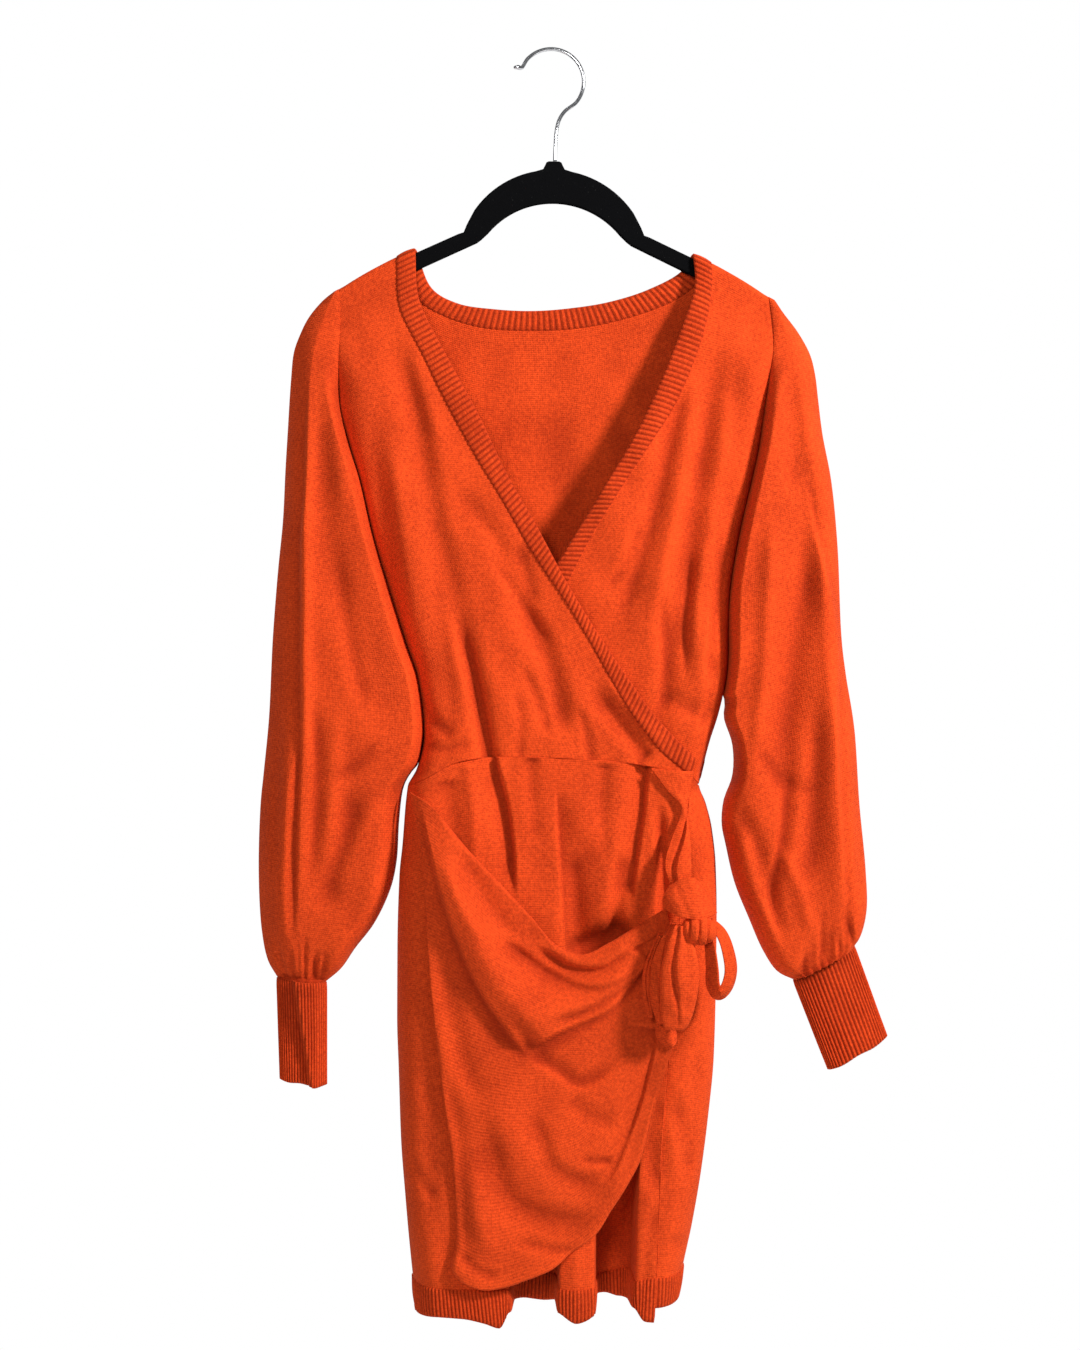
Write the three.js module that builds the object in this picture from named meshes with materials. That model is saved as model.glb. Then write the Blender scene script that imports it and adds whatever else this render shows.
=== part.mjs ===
// A knit wrap dress with wide sleeves, hung on a slim hanger with a wire hook.
// Millimetres. +X is to the viewer's right, +Z is up and the dress's front faces -Y.
// The origin is the inside top of the hook, where it hangs on a rod.
// Right and left in the names are the wearer's: the right side lies at negative X.
import * as THREE from 'three';

// Driving sizes
const clothThickness = 2;
const seamGap = 0.3;
const ribHeight = 0.8;
const bandWidthAlongShoulder = 16;
const cuffLength = 91;
const layerGap = 7;
const seamClearance = 0.5;
const hangerThickness = 5;
const hangerHalfLength = 191;
const armDepth = 15.8;
const armSlope = 0.465;
const armTopAtNeck = -181.7;
const armTipDrop = 5.5;
const armTipFrom = 158;
const armTipLength = 32;
const neckHalfWidth = 122.5;
const hangerTilt = 0.019;
const shoulderEnd = 189;
const shoulderRadius = 5.7;
const archTop = -104.7;
const archOuterRadius = 85;
const archInnerTop = -134.4;
const archInnerRadius = 75;
const wireRadius = 1.75;
const hookRadius = 28.75;

const dressColour = 0xc63c0c;

// A smooth curve through rows of { z, ... }, read at any height by a column's name.
function column(rows, name) {
  const heights = rows.map((row) => row.z);
  const values = rows.map((row) => row[name]);
  const last = rows.length - 1;
  const slope = (i) => (values[i + 1] - values[i]) / (heights[i + 1] - heights[i]);
  const tangents = values.map((value, i) => {
    if (i === 0) return slope(0);
    if (i === last) return slope(last - 1);
    const before = slope(i - 1);
    const after = slope(i);
    return before * after <= 0 ? 0 : (2 * before * after) / (before + after);
  });
  return (z) => {
    if (z >= heights[0]) return values[0];
    if (z <= heights[last]) return values[last];
    let i = 0;
    while (heights[i + 1] > z) i += 1;
    const h = heights[i + 1] - heights[i];
    const t = (z - heights[i]) / h;
    const a = values[i] * (1 + 2 * t) * (1 - t) ** 2 + tangents[i] * h * t * (1 - t) ** 2;
    return a + values[i + 1] * t * t * (3 - 2 * t) - tangents[i + 1] * h * t * t * (1 - t);
  };
}

// Turns a row's list of numbers into named columns.
function table(names, rows) {
  return rows.map((row) => Object.fromEntries(names.map((name, i) => [name, row[i]])));
}

const mix = (a, b, t) => a + (b - a) * t;
const clamp01 = (t) => Math.min(1, Math.max(0, t));
const ease = (t) => clamp01(t) ** 2 * (3 - 2 * clamp01(t));

// A quarter round: 0 at an edge, 1 from the given reach on.
function roundOff(distance, reach) {
  const left = 1 - clamp01(distance / reach);
  return Math.sqrt(Math.max(0, 1 - left * left));
}

// Height of the hanger's sloping arms, which curve down a little toward their ends.
function armTop(x) {
  const out = Math.abs(x);
  return armTopAtNeck - armSlope * (out - 125) - armTipDrop * ease((out - armTipFrom) / armTipLength);
}

// Height of the dress's shoulder line, which lies on the arms.
const shoulderHeight = (x) => armTop(x) + clothThickness + 1.8 - hangerTilt * x;

const onShoulder = (x) => [x, shoulderHeight(x)];

// The body's two sides seen from the front. Down to the underarm they are the bottom of the fold
// between body and sleeve. front and back are the depths at which the cloth ends there, and
// reach is how far in from the side the cloth turns.
const sideColumns = ['z', 'x', 'front', 'back', 'reach'];
const rightSide = table(sideColumns, [
  [-207, -188, 0, 0, 8],
  [-228, -187.5, -7, 5, 8],
  [-251, -187.2, -10, 8, 10],
  [-280, -188.5, -5, 9, 18],
  [-307, -188.6, -1, 9, 24],
  [-341, -181.6, 1, 9, 28],
  [-378, -170.4, 1, 9, 28],
  [-426, -159.2, 1, 9, 28],
  [-470, -146.2, 1, 9, 26],
  [-522, -129.8, 1, 9, 24],
  [-553, -119.5, 1, 9, 22],
  [-601, -114.5, 1, 8, 20],
  [-631, -120.5, 0.5, 5, 20],
  [-646, -128.5, -0.15, 0.15, 22],
  [-700, -133.5, -0.15, 0.15, 26],
  [-725, -136, -0.15, 0.15, 28],
  [-787, -137.8, -0.15, 0.15, 30],
  [-848, -138, -0.15, 0.15, 30],
  [-895, -136.5, -0.15, 0.15, 30],
  [-955, -134.5, -0.15, 0.15, 30],
  [-1005, -130.7, -0.15, 0.15, 30],
  [-1052, -126.5, -0.15, 0.15, 30],
  [-1088, -122.5, -0.15, 0.15, 28],
  [-1115, -118.5, -0.15, 0.15, 26],
]);
const leftSide = table(sideColumns, [
  [-212, 188, 0, 0, 8],
  [-235, 190.5, -7, 5, 8],
  [-261, 191.6, -10, 8, 10],
  [-290, 188.5, -5, 9, 18],
  [-320, 184.5, -1, 9, 24],
  [-349, 180.4, 1, 9, 26],
  [-378, 174, 1, 9, 26],
  [-426, 163, 1, 9, 26],
  [-482, 154.2, 1, 9, 24],
  [-540, 152.7, 1, 8, 22],
  [-565, 149, 0.5, 4, 20],
  [-580, 145.5, -0.15, 0.15, 20],
  [-609, 136.5, -0.15, 0.15, 22],
  [-645, 127.5, -0.15, 0.15, 24],
  [-661, 133.2, -0.15, 0.15, 26],
  [-683, 138.6, -0.15, 0.15, 26],
  [-716, 142.1, -0.15, 0.15, 28],
  [-754, 143, -0.15, 0.15, 30],
  [-828, 142.1, -0.15, 0.15, 30],
  [-884, 140.4, -0.15, 0.15, 30],
  [-939, 135.1, -0.15, 0.15, 30],
  [-985, 129, -0.15, 0.15, 28],
  [-1030, 121.1, -0.15, 0.15, 26],
  [-1066, 113.2, -0.15, 0.15, 24],
  [-1115, 104.5, -0.15, 0.15, 22],
]);

// How far the cloth stands off the hanger's plane in front and behind, beyond the shoulder's round.
const bodyDepth = table(['z', 'front', 'back'], [
  [-180, 0, 0],
  [-200, 0.6, 1],
  [-250, 6, 7],
  [-300, 11, 10],
  [-340, 15, 12],
  [-380, 18, 13.5],
  [-440, 22, 14.5],
  [-500, 24, 15.5],
  [-560, 25, 16.5],
  [-640, 25, 17],
  [-700, 28, 18],
  [-790, 30, 18],
  [-880, 32, 17],
  [-960, 34, 16],
  [-1030, 36, 15],
  [-1075, 37, 15],
  [-1115, 37, 15],
]);

const foldTop = -232;
const rightX = column(rightSide, 'x');
const leftX = column(leftSide, 'x');

// Depth of the body's cloth at a point seen from the front; face is 'front' or 'back'. The fold
// between body and sleeve deepens from the hanger's end down.
function bodySurface(face) {
  const toward = face === 'front' ? -1 : 1;
  const standOff = column(bodyDepth, face);
  const ends = [column(rightSide, face), column(leftSide, face)];
  const reaches = [column(rightSide, 'reach'), column(leftSide, 'reach')];
  return (x, z) => {
    const below = shoulderHeight(x) - z;
    const shoulder = seamGap / 2 + shoulderRadius * roundOff(below, shoulderRadius);
    let y = toward * (shoulder + standOff(z) * ease(below / 60));
    const insets = [x - rightX(z), leftX(z) - x];
    insets.forEach((inset, i) => {
      const edge = mix(y, ends[i](z), ease((foldTop - z) / 60));
      y = mix(edge, y, roundOff(inset, reaches[i](z)));
    });
    return y;
  };
}

const bodyFront = bodySurface('front');
const bodyBack = bodySurface('back');

// The nearest place on a path of [x, z] points: side is positive to the left of its direction.
function nearestOn(path, x, z) {
  const steps = path.length - 1;
  let best = { distance: Infinity, side: 0, along: 0 };
  for (let i = 0; i < steps; i += 1) {
    const [ax, az] = path[i];
    const [bx, bz] = path[i + 1];
    const dx = bx - ax;
    const dz = bz - az;
    const t = clamp01(((x - ax) * dx + (z - az) * dz) / (dx * dx + dz * dz));
    const offX = x - ax - t * dx;
    const offZ = z - az - t * dz;
    const distance = Math.hypot(offX, offZ);
    if (distance < best.distance) {
      best = { distance, side: dx * offZ - dz * offX, along: (i + t) / steps };
    }
  }
  return best;
}

// A soft fold along a path in the front view: deep is how far it goes in (out if negative).
// before and after are its widths on the path's two sides.
function foldDepth(folds, x, z) {
  let total = 0;
  for (const fold of folds) {
    const { distance, side, along } = nearestOn(fold.path, x, z);
    const width = side > 0 ? fold.before : fold.after;
    const taper = ease(along / 0.25) * ease((1 - along) / 0.25);
    total += fold.deep * Math.exp(-((distance / width) ** 2)) * (fold.fullEnds ? 1 : taper);
  }
  return total;
}

// The direction into the cloth at a grid's point. Seen from outside, columns run to the right
// and rows run down.
function inward(grid, row, col, closed) {
  const rows = grid.length;
  const cols = grid[0].length;
  const up = grid[Math.max(0, row - 1)][col];
  const down = grid[Math.min(rows - 1, row + 1)][col];
  const before = closed ? grid[row][(col - 1 + cols) % cols] : grid[row][Math.max(0, col - 1)];
  const after = closed ? grid[row][(col + 1) % cols] : grid[row][Math.min(cols - 1, col + 1)];
  const across = new THREE.Vector3().subVectors(after, before);
  const along = new THREE.Vector3().subVectors(down, up);
  return across.cross(along).normalize();
}

// A closed wall from an outer and an inner grid. The inner grid has one column for each step
// columns of the outer one.
function wall(outer, inner, step, closed) {
  const positions = [];
  const place = (grid) => grid.map((row) => row.map((point) => {
    positions.push(point.x, point.y, point.z);
    return positions.length / 3 - 1;
  }));
  const o = place(outer);
  const i = place(inner);
  const rows = outer.length;
  const outerCols = outer[0].length;
  const innerCols = inner[0].length;
  const faces = [];
  const o2 = (row, col) => o[row][col % outerCols];
  const i2 = (row, col) => i[row][col % innerCols];
  const outerCells = closed ? outerCols : outerCols - 1;
  const innerCells = closed ? innerCols : innerCols - 1;
  for (let r = 0; r + 1 < rows; r += 1) {
    for (let c = 0; c < outerCells; c += 1) {
      faces.push(o2(r, c), o2(r + 1, c), o2(r + 1, c + 1));
      faces.push(o2(r, c), o2(r + 1, c + 1), o2(r, c + 1));
    }
    for (let c = 0; c < innerCells; c += 1) {
      faces.push(i2(r, c), i2(r + 1, c + 1), i2(r + 1, c));
      faces.push(i2(r, c), i2(r, c + 1), i2(r + 1, c + 1));
    }
    if (!closed) {
      const oc = outerCols - 1;
      const ic = innerCols - 1;
      faces.push(o2(r + 1, 0), o2(r, 0), i2(r, 0), o2(r + 1, 0), i2(r, 0), i2(r + 1, 0));
      faces.push(o2(r, oc), o2(r + 1, oc), i2(r + 1, ic), o2(r, oc), i2(r + 1, ic), i2(r, ic));
    }
  }
  const bottom = rows - 1;
  const middle = Math.floor(step / 2);
  for (let c = 0; c < innerCells; c += 1) {
    const start = c * step;
    for (let k = 0; k < step; k += 1) {
      const near = k < middle ? c : c + 1;
      faces.push(o2(0, start + k), o2(0, start + k + 1), i2(0, near));
      faces.push(o2(bottom, start + k + 1), o2(bottom, start + k), i2(bottom, near));
    }
    faces.push(i2(0, c), o2(0, start + middle), i2(0, c + 1));
    faces.push(o2(bottom, start + middle), i2(bottom, c), i2(bottom, c + 1));
  }
  const geometry = new THREE.BufferGeometry();
  geometry.setAttribute('position', new THREE.Float32BufferAttribute(positions, 3));
  geometry.setIndex(faces);
  geometry.computeVertexNormals();
  return geometry;
}

// The same direction, kept square to Y on the side edges named in edges, where the cloth turns
// back to meet another piece, and wherever front and back meet. On an edge named level it is
// kept square to Z, as at the waist seam.
const throatTop = -262;
function intoCloth(grid, row, col, closed, edges) {
  const direction = inward(grid, row, col, closed);
  const point = grid[row][col];
  const onSide = (edges.includes('left') && col === 0)
    || (edges.includes('right') && col === grid[0].length - 1);
  const meets = Math.abs(point.y) <= seamGap / 2 + 1e-6;
  if (meets || (onSide && point.z < throatTop)) direction.setY(0);
  const level = (edges.includes('levelTop') && row === 0)
    || (edges.includes('levelBottom') && row === grid.length - 1);
  if (level) direction.setZ(0);
  return direction.normalize();
}

// Cloth of even thickness behind a grid of outer points.
function clothWall(grid, edges = [], closed = false) {
  const inner = grid.map((row, r) => row.map((point, c) => (
    point.clone().addScaledVector(intoCloth(grid, r, c, closed, edges), clothThickness)
  )));
  return wall(grid, inner, 1, closed);
}

// Ribbed cloth: every other column of outer points is raised over a plain inside.
function ribbedWall(grid, ribbed = () => true, closed = false, columnsPerInner = 4) {
  const outer = grid.map((row, r) => row.map((point, c) => {
    const raised = c % 2 === 1 && ribbed(c) ? ribHeight : 0;
    return point.clone().addScaledVector(intoCloth(grid, r, c, closed, []), -raised);
  }));
  const inner = grid.map((row, r) => row
    .map((point, c) => (
      point.clone().addScaledVector(intoCloth(grid, r, c, closed, []), clothThickness)))
    .filter((point, c) => c % columnsPerInner === 0));
  return wall(outer, inner, columnsPerInner, closed);
}

// A curve in the front view through [x, z] points.
function curve(points) {
  const vectors = points.map(([x, z]) => new THREE.Vector3(x, 0, z));
  if (vectors.length === 2) return new THREE.LineCurve3(vectors[0], vectors[1]);
  return new THREE.CatmullRomCurve3(vectors, false, 'centripetal');
}

// Two curves joined end to end, each part keeping its own share of the length.
function joined(parts) {
  const curves = parts.map(curve);
  const path = new THREE.CurvePath();
  curves.forEach((part) => path.add(part));
  return path;
}

// Even fractions from 0 to 1, crowded toward the ends so that turned edges stay round.
function fractions(count, crowding = 0.75) {
  return Array.from({ length: count + 1 }, (unused, i) => {
    const t = i / count;
    return t - (crowding * Math.sin(2 * Math.PI * t)) / (2 * Math.PI);
  });
}

// Fractions down a length: first the given distances from the top, then even steps.
function fractionsFrom(distances, length, count) {
  const start = distances.at(-1) / length;
  const rest = Array.from({ length: count }, (unused, i) => mix(start, 1, (i + 1) / count));
  return [...distances.map((distance) => distance / length), ...rest];
}
const overShoulder = [0, 0.7, 2.2, 5.5, 14];

// A path straight from point to point, such as the edge of a piece that is already built.
function edgePath(points) {
  const path = new THREE.CurvePath();
  points.slice(1).forEach((point, i) => path.add(new THREE.LineCurve3(points[i], point)));
  return path;
}

// A grid of points between four edge curves in the front view, each given a depth.
function sheetGrid({ left, right, top, bottom, across, down, depth }) {
  const corner = (edge, t) => edge.getPointAt(t);
  const topEdge = top ?? new THREE.LineCurve3(corner(left, 0), corner(right, 0));
  const bottomEdge = bottom ?? new THREE.LineCurve3(corner(left, 1), corner(right, 1));
  const tops = across.map((u) => topEdge.getPointAt(u));
  const bottoms = across.map((u) => bottomEdge.getPointAt(u));
  const [p00, p10] = [corner(left, 0), corner(right, 0)];
  const [p01, p11] = [corner(left, 1), corner(right, 1)];
  return down.map((v) => {
    const a = left.getPointAt(v);
    const b = right.getPointAt(v);
    const width = a.distanceTo(b);
    return across.map((u, i) => {
      const part = (key) => mix(tops[i][key], bottoms[i][key], v) + mix(a[key], b[key], u)
        - mix(mix(p00[key], p10[key], u), mix(p01[key], p11[key], u), v);
      const x = part('x');
      const z = part('z');
      return new THREE.Vector3(x, depth(x, z, { left: u * width, right: (1 - u) * width, u, v }), z);
    });
  });
}

const group = new THREE.Group();

function add(name, geometry, colour = dressColour, roughness = 0.9, metalness = 0) {
  const material = new THREE.MeshStandardMaterial({ color: colour, roughness, metalness });
  const mesh = new THREE.Mesh(geometry, material);
  mesh.name = name;
  group.add(mesh);
  return mesh;
}

// Hanger: a flat bar with an arch in the middle and two sloping arms, hung a little aslant
function addHanger() {
  const flankX = 76;
  const halfArm = armDepth / 2;
  const tipRadius = halfArm * Math.cos(Math.atan(armSlope));
  const tipX = hangerHalfLength - tipRadius;
  const arc = (radius, top, from, to, count) => Array.from({ length: count + 1 }, (unused, i) => {
    const x = mix(from, to, i / count);
    return [x, top - radius + Math.sqrt(radius * radius - x * x)];
  });
  const half = [[0, -97.3], [5.5, -97.3], [7.5, -99], [8.5, archTop - 0.6]];
  half.push(...arc(archOuterRadius, archTop, 18, 70, 5));
  half.push([74.5, -150], [flankX, -156]);
  half.push(...[82, 156, 166, 174].map((x) => [x, armTop(x)]));
  const slope = Math.atan(armSlope);
  for (let i = 0; i <= 4; i += 1) {
    const angle = Math.PI / 2 - slope - (i / 4) * Math.PI;
    const x = tipX + tipRadius * Math.cos(angle);
    half.push([x, armTop(tipX) - halfArm + tipRadius * Math.sin(angle)]);
  }
  half.push(...[174, 166, 156, 66].map((x) => [x, armTop(x) - armDepth]));
  half.push(...arc(archInnerRadius, archInnerTop, 59, 0, 6));
  const mirrored = half.slice(1, -1).reverse().map(([x, z]) => [-x, z]);
  const outline = [...half, ...mirrored].map(([x, z]) => (
    new THREE.Vector2(x, z - hangerTilt * x)
  ));
  const bevel = 1.9;
  const shape = new THREE.Shape(outline);
  const geometry = new THREE.ExtrudeGeometry(shape, {
    depth: hangerThickness - 2 * bevel,
    bevelThickness: bevel,
    bevelSize: bevel,
    bevelOffset: -bevel,
    bevelSegments: 1,
    steps: 1,
  });
  geometry.rotateX(Math.PI / 2);
  geometry.translate(0, hangerThickness / 2 - bevel, 0);
  add('hanger', geometry, 0x0b0b0c, 0.95);
}

// Hook: wire bent into a round that hangs on the rod, with a short stem down to the hanger
function addHook() {
  const centreX = -2.6;
  const centreZ = wireRadius * -1 - hookRadius + 3.5;
  const points = [[-35.5, -14.6], [-31.5, -14.3]];
  for (let degrees = 155; degrees >= -40; degrees -= 19.5) {
    const angle = THREE.MathUtils.degToRad(degrees);
    points.push([centreX + hookRadius * Math.cos(angle), centreZ + hookRadius * Math.sin(angle)]);
  }
  points.push([9.5, -53.2], [4.6, -60.7], [2.2, -70], [1.2, -84], [0.8, -97.3 + seamGap]);
  const path = new THREE.CatmullRomCurve3(points.map(([x, z]) => new THREE.Vector3(x, 0, z)));
  const section = new THREE.Shape();
  section.absarc(0, 0, wireRadius, 0, 2 * Math.PI);
  const geometry = new THREE.ExtrudeGeometry(section, {
    extrudePath: path,
    steps: 36,
    curveSegments: 4,
    bevelEnabled: false,
  });
  add('hook', geometry, 0xb9bcc0, 0.2, 1);
}

// Neck and waist lines in the front view
const rightSeamLine = [
  onShoulder(-neckHalfWidth - bandWidthAlongShoulder), [-135.7, -226.1], [-116.2, -267.2],
  [-94.1, -312.3], [-67, -361.6], [-45.2, -397.4], [-18.4, -444.4], [8.2, -483.7],
  [30.4, -519.8], [50, -554.3], [70.5, -588.4], [91.1, -613.9], [117.5, -636],
];
const rightNeckLine = [
  onShoulder(-neckHalfWidth), [-119.1, -219.6], [-96.3, -267.2], [-67.1, -321.6],
  [-40.4, -377.3], [-18.4, -415.4], [8.5, -466.1], [36.8, -512.8], [64.6, -554.3],
  [89.2, -588], [122, -622.5],
];
const leftSeamLine = [
  onShoulder(neckHalfWidth + bandWidthAlongShoulder), [138.5, -211.6], [128.7, -257.4],
  [106.4, -311.6], [83.9, -347.8], [54.7, -392.6], [30.2, -432.8], [8, -476], [-20, -528],
  [-52, -580], [-84, -624.5],
];
const leftNeckLine = [
  onShoulder(neckHalfWidth), [124, -207.1], [113.6, -241.3], [93.1, -293.9], [70.5, -341.1],
  [43.8, -385.9], [19.3, -426.1], [-7, -469], [-35, -521], [-67, -573], [-99, -631],
];
const backSeamLine = [
  onShoulder(neckHalfWidth + bandWidthAlongShoulder), [124.2, -206.3], [105.6, -218.6],
  [71.9, -231.3], [26.7, -241.5], [-18.5, -244.2], [-63.7, -241.5], [-97.6, -231.3],
  [-119.8, -217.6], onShoulder(-neckHalfWidth - bandWidthAlongShoulder),
];
const backNeckLine = [
  onShoulder(neckHalfWidth), [112.7, -194], [83.4, -209.6], [49.4, -220.1], [15.2, -225.6],
  [-18.5, -228], [-52.4, -226.5], [-86.3, -221.1], [-108.9, -208],
  onShoulder(-neckHalfWidth),
];
const waistLine = [
  [-128.5, -646], [-115, -640.4], [-97, -630.5], [-84, -624.5], [-60, -620.5], [-17.5, -620],
  [36.8, -622.5], [79.8, -627.3], [117.5, -636], [127.5, -645],
];
const waistEnd = 8;

// Points down one of the body's sides, from the shoulder or a given height to another.
function sidePoints(rows, from, to) {
  const x = column(rows, 'x');
  const between = rows.filter((row) => row.z < from - 4 && row.z > to + 4);
  return [[x(from), from], ...between.map((row) => [row.x, row.z]), [x(to), to]];
}

function bodySide(rows, toWaist) {
  const start = onShoulder(rows[0].x);
  return [start, ...sidePoints(rows, rows[1].z, toWaist)];
}

// How far the under wrap lies behind the outer one: pressed to it at the waist seam and joined
// to the same surface well away from the neck edge. Under the outer one it has its folds too.
function underOffset(x, z) {
  const { distance, side } = nearestOn(rightNeckLine, x, z);
  const share = side < 0 ? 1 : 1 - ease(distance / 75);
  const apart = mix(clothThickness + 3.2, layerGap, ease((z + 645) / 90));
  return share * (apart + foldDepth(outerFrontFolds, x, z));
}

// The largest folds of the two wrap fronts
const outerFrontFolds = [
  { path: [[-136, -250], [-122.9, -307.9], [-105.2, -359.8], [-95.7, -404.4], [-70, -480]],
    deep: 4, before: 13, after: 13 },
  { path: [[-88.8, -479.1], [-71.9, -537], [-62.4, -578.5], [-53.1, -616], [-50, -640]],
    deep: 6, before: 11, after: 8, fullEnds: true },
  { path: [[-30.5, -464.4], [-15.8, -512.8], [-2.8, -548.2], [6.7, -586.2], [12.4, -608.7]],
    deep: 4, before: 12, after: 12 },
  { path: [[33, -560], [50, -584], [70, -612]], deep: 4, before: 8, after: 8 },
];
const underFrontFolds = [
  { path: [[147.7, -241.3], [138.2, -280.1], [133.4, -325.4], [128.7, -370.3], [117.1, -425.8],
    [106, -503.7]], deep: 5, before: 14, after: 14 },
  { path: [[116, -284.6], [101.9, -339], [84.2, -392.6], [66.3, -448.4], [52.7, -492.7]],
    deep: 4, before: 10, after: 10 },
  { path: [[91.7, -563.8], [110, -575], [130, -582]], deep: 3, before: 10, after: 10 },
];

function buildBodice() {
  const rightEdge = bodySide(rightSide, -645.6);
  const leftEdge = bodySide(leftSide, -644.6);
  const rightTop = onShoulder(-neckHalfWidth - bandWidthAlongShoulder);
  const leftTop = onShoulder(neckHalfWidth + bandWidthAlongShoulder);
  const rows = (count) => fractionsFrom(overShoulder, 450, count);
  const backRows = [...rows(0), 0.17, 0.33, 0.5, 0.67, 0.84, 0.915, 0.965, 1];
  const right = sheetGrid({
    left: curve(rightEdge),
    right: curve([...rightSeamLine.slice(0, -1), waistLine[waistEnd]]),
    top: curve([onShoulder(rightSide[0].x), rightTop]),
    bottom: curve([rightEdge.at(-1), ...waistLine.slice(1, waistEnd + 1)]),
    across: fractions(14, 0.6),
    down: rows(15),
    depth: (x, z) => bodyFront(x, z) + foldDepth(outerFrontFolds, x, z),
  });
  const left = sheetGrid({
    left: curve([...leftSeamLine.slice(0, -1), waistLine[3]]),
    right: curve(leftEdge),
    top: curve([leftTop, onShoulder(leftSide[0].x)]),
    bottom: curve([...waistLine.slice(3, -1), leftEdge.at(-1)]),
    across: fractions(11, 0.6),
    down: rows(12),
    depth: (x, z) => {
      const behind = underOffset(x, z) + foldDepth(underFrontFolds, x, z);
      return bodyFront(x, z) + behind * roundOff(leftX(z) - x, 20);
    },
  });
  const neck = joined([[onShoulder(leftSide[0].x), leftTop], backSeamLine,
    [rightTop, onShoulder(rightSide[0].x)]]);
  const shoulderShare = neck.getCurveLengths()[0] / neck.getLength();
  const neckShares = fractions(backNeckCells, 0.82).map((t) => (
    mix(shoulderShare, 1 - shoulderShare, t)
  ));
  const back = sheetGrid({
    left: curve(leftEdge),
    right: curve(rightEdge),
    top: neck,
    bottom: curve([leftEdge.at(-1), [60, -640], [-60, -640], rightEdge.at(-1)]),
    across: [0, 0.02, shoulderShare * 0.5, ...neckShares, 1 - shoulderShare * 0.5, 0.98, 1],
    down: backRows,
    depth: bodyBack,
  });
  return { right, left, back };
}

const backNeckCells = 12;
const bodice = buildBodice();
const bodiceEdge = {
  rightBand: bodice.right.map((row) => row.at(-1)),
  leftBand: bodice.left.map((row) => row[0]),
  backBand: bodice.back[0].slice(3, 3 + backNeckCells + 1),
  waist: bodice.right.at(-1),
  leftWaist: bodice.left.at(-1),
};

function addBodice() {
  add('right_front', clothWall(bodice.right, ['left', 'levelBottom']));
  add('left_front', clothWall(bodice.left, ['right', 'levelBottom']));
  add('bodice_back', clothWall(bodice.back, ['left', 'right', 'levelBottom']));
}

// Neck bands: the ribs run across each band, from the neck edge to its seam. The seam edge
// follows the edge of the piece that it is sewn to.
function bandGrid({ neckLine, seamPoints, shares, depth, neckOnTop, clearance = seamClearance }) {
  const neck = curve(neckLine);
  const seam = edgePath(seamPoints);
  const neckRow = shares.map((t) => {
    const point = neck.getPointAt(t);
    return point.setY(depth(point.x, point.z));
  });
  const seamRow = shares.map((t, i) => {
    const point = seam.getPointAt(t);
    const away = neckRow[i].clone().sub(point).setY(0).normalize();
    return point.addScaledVector(away, clearance);
  });
  return neckOnTop ? [neckRow, seamRow] : [seamRow, neckRow];
}

function addBands() {
  const ribPitch = 4.8;
  const crestStarts = [0, 0.5, 1.1, 1.8, 2.6, 3.6, 5, 6.6, 8.4];
  const ribShares = (line, bothEnds, share = 1) => {
    const length = curve(line).getLength();
    const start = crestStarts.map((distance) => distance / length);
    const stop = bothEnds ? 1 - start.at(-1) : share;
    const cells = Math.round(((stop - start.at(-1)) * length) / ribPitch / 2) * 4;
    const middle = Array.from({ length: cells }, (unused, i) => (
      mix(start.at(-1), stop, (i + 1) / cells)
    ));
    const end = bothEnds ? start.slice(0, -1).reverse().map((t) => 1 - t) : [];
    return [...start, ...middle, ...end];
  };
  const ribbedFrom = crestStarts.length - 1;
  const rightShares = ribShares(rightNeckLine, false);
  add('right_front_band', ribbedWall(bandGrid({
    neckLine: rightNeckLine,
    seamPoints: bodiceEdge.rightBand,
    shares: rightShares,
    depth: (x, z) => bodyFront(x, z) - 0.3,
    neckOnTop: true,
  }), (c) => c >= ribbedFrom));
  const shown = ribShares(leftNeckLine, false, 0.6);
  const hiddenCells = 32;
  const hidden = Array.from({ length: hiddenCells }, (unused, i) => (
    mix(0.6, 0.985, (i + 1) / hiddenCells)
  ));
  add('left_front_band', ribbedWall(bandGrid({
    neckLine: leftNeckLine,
    seamPoints: bodiceEdge.leftBand,
    shares: [...shown, ...hidden],
    depth: (x, z) => bodyFront(x, z) + underOffset(x, z),
    neckOnTop: false,
  }), (c) => c >= ribbedFrom && c < shown.length, false, 2));
  const backShares = ribShares(backNeckLine, true);
  add('back_neck_band', ribbedWall(bandGrid({
    neckLine: backNeckLine,
    seamPoints: bodiceEdge.backBand,
    shares: backShares,
    depth: (x, z) => bodyBack(x, z),
    neckOnTop: true,
    clearance: 2 * seamClearance,
  }), (c) => c >= ribbedFrom && c < backShares.length - ribbedFrom));
}

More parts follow.
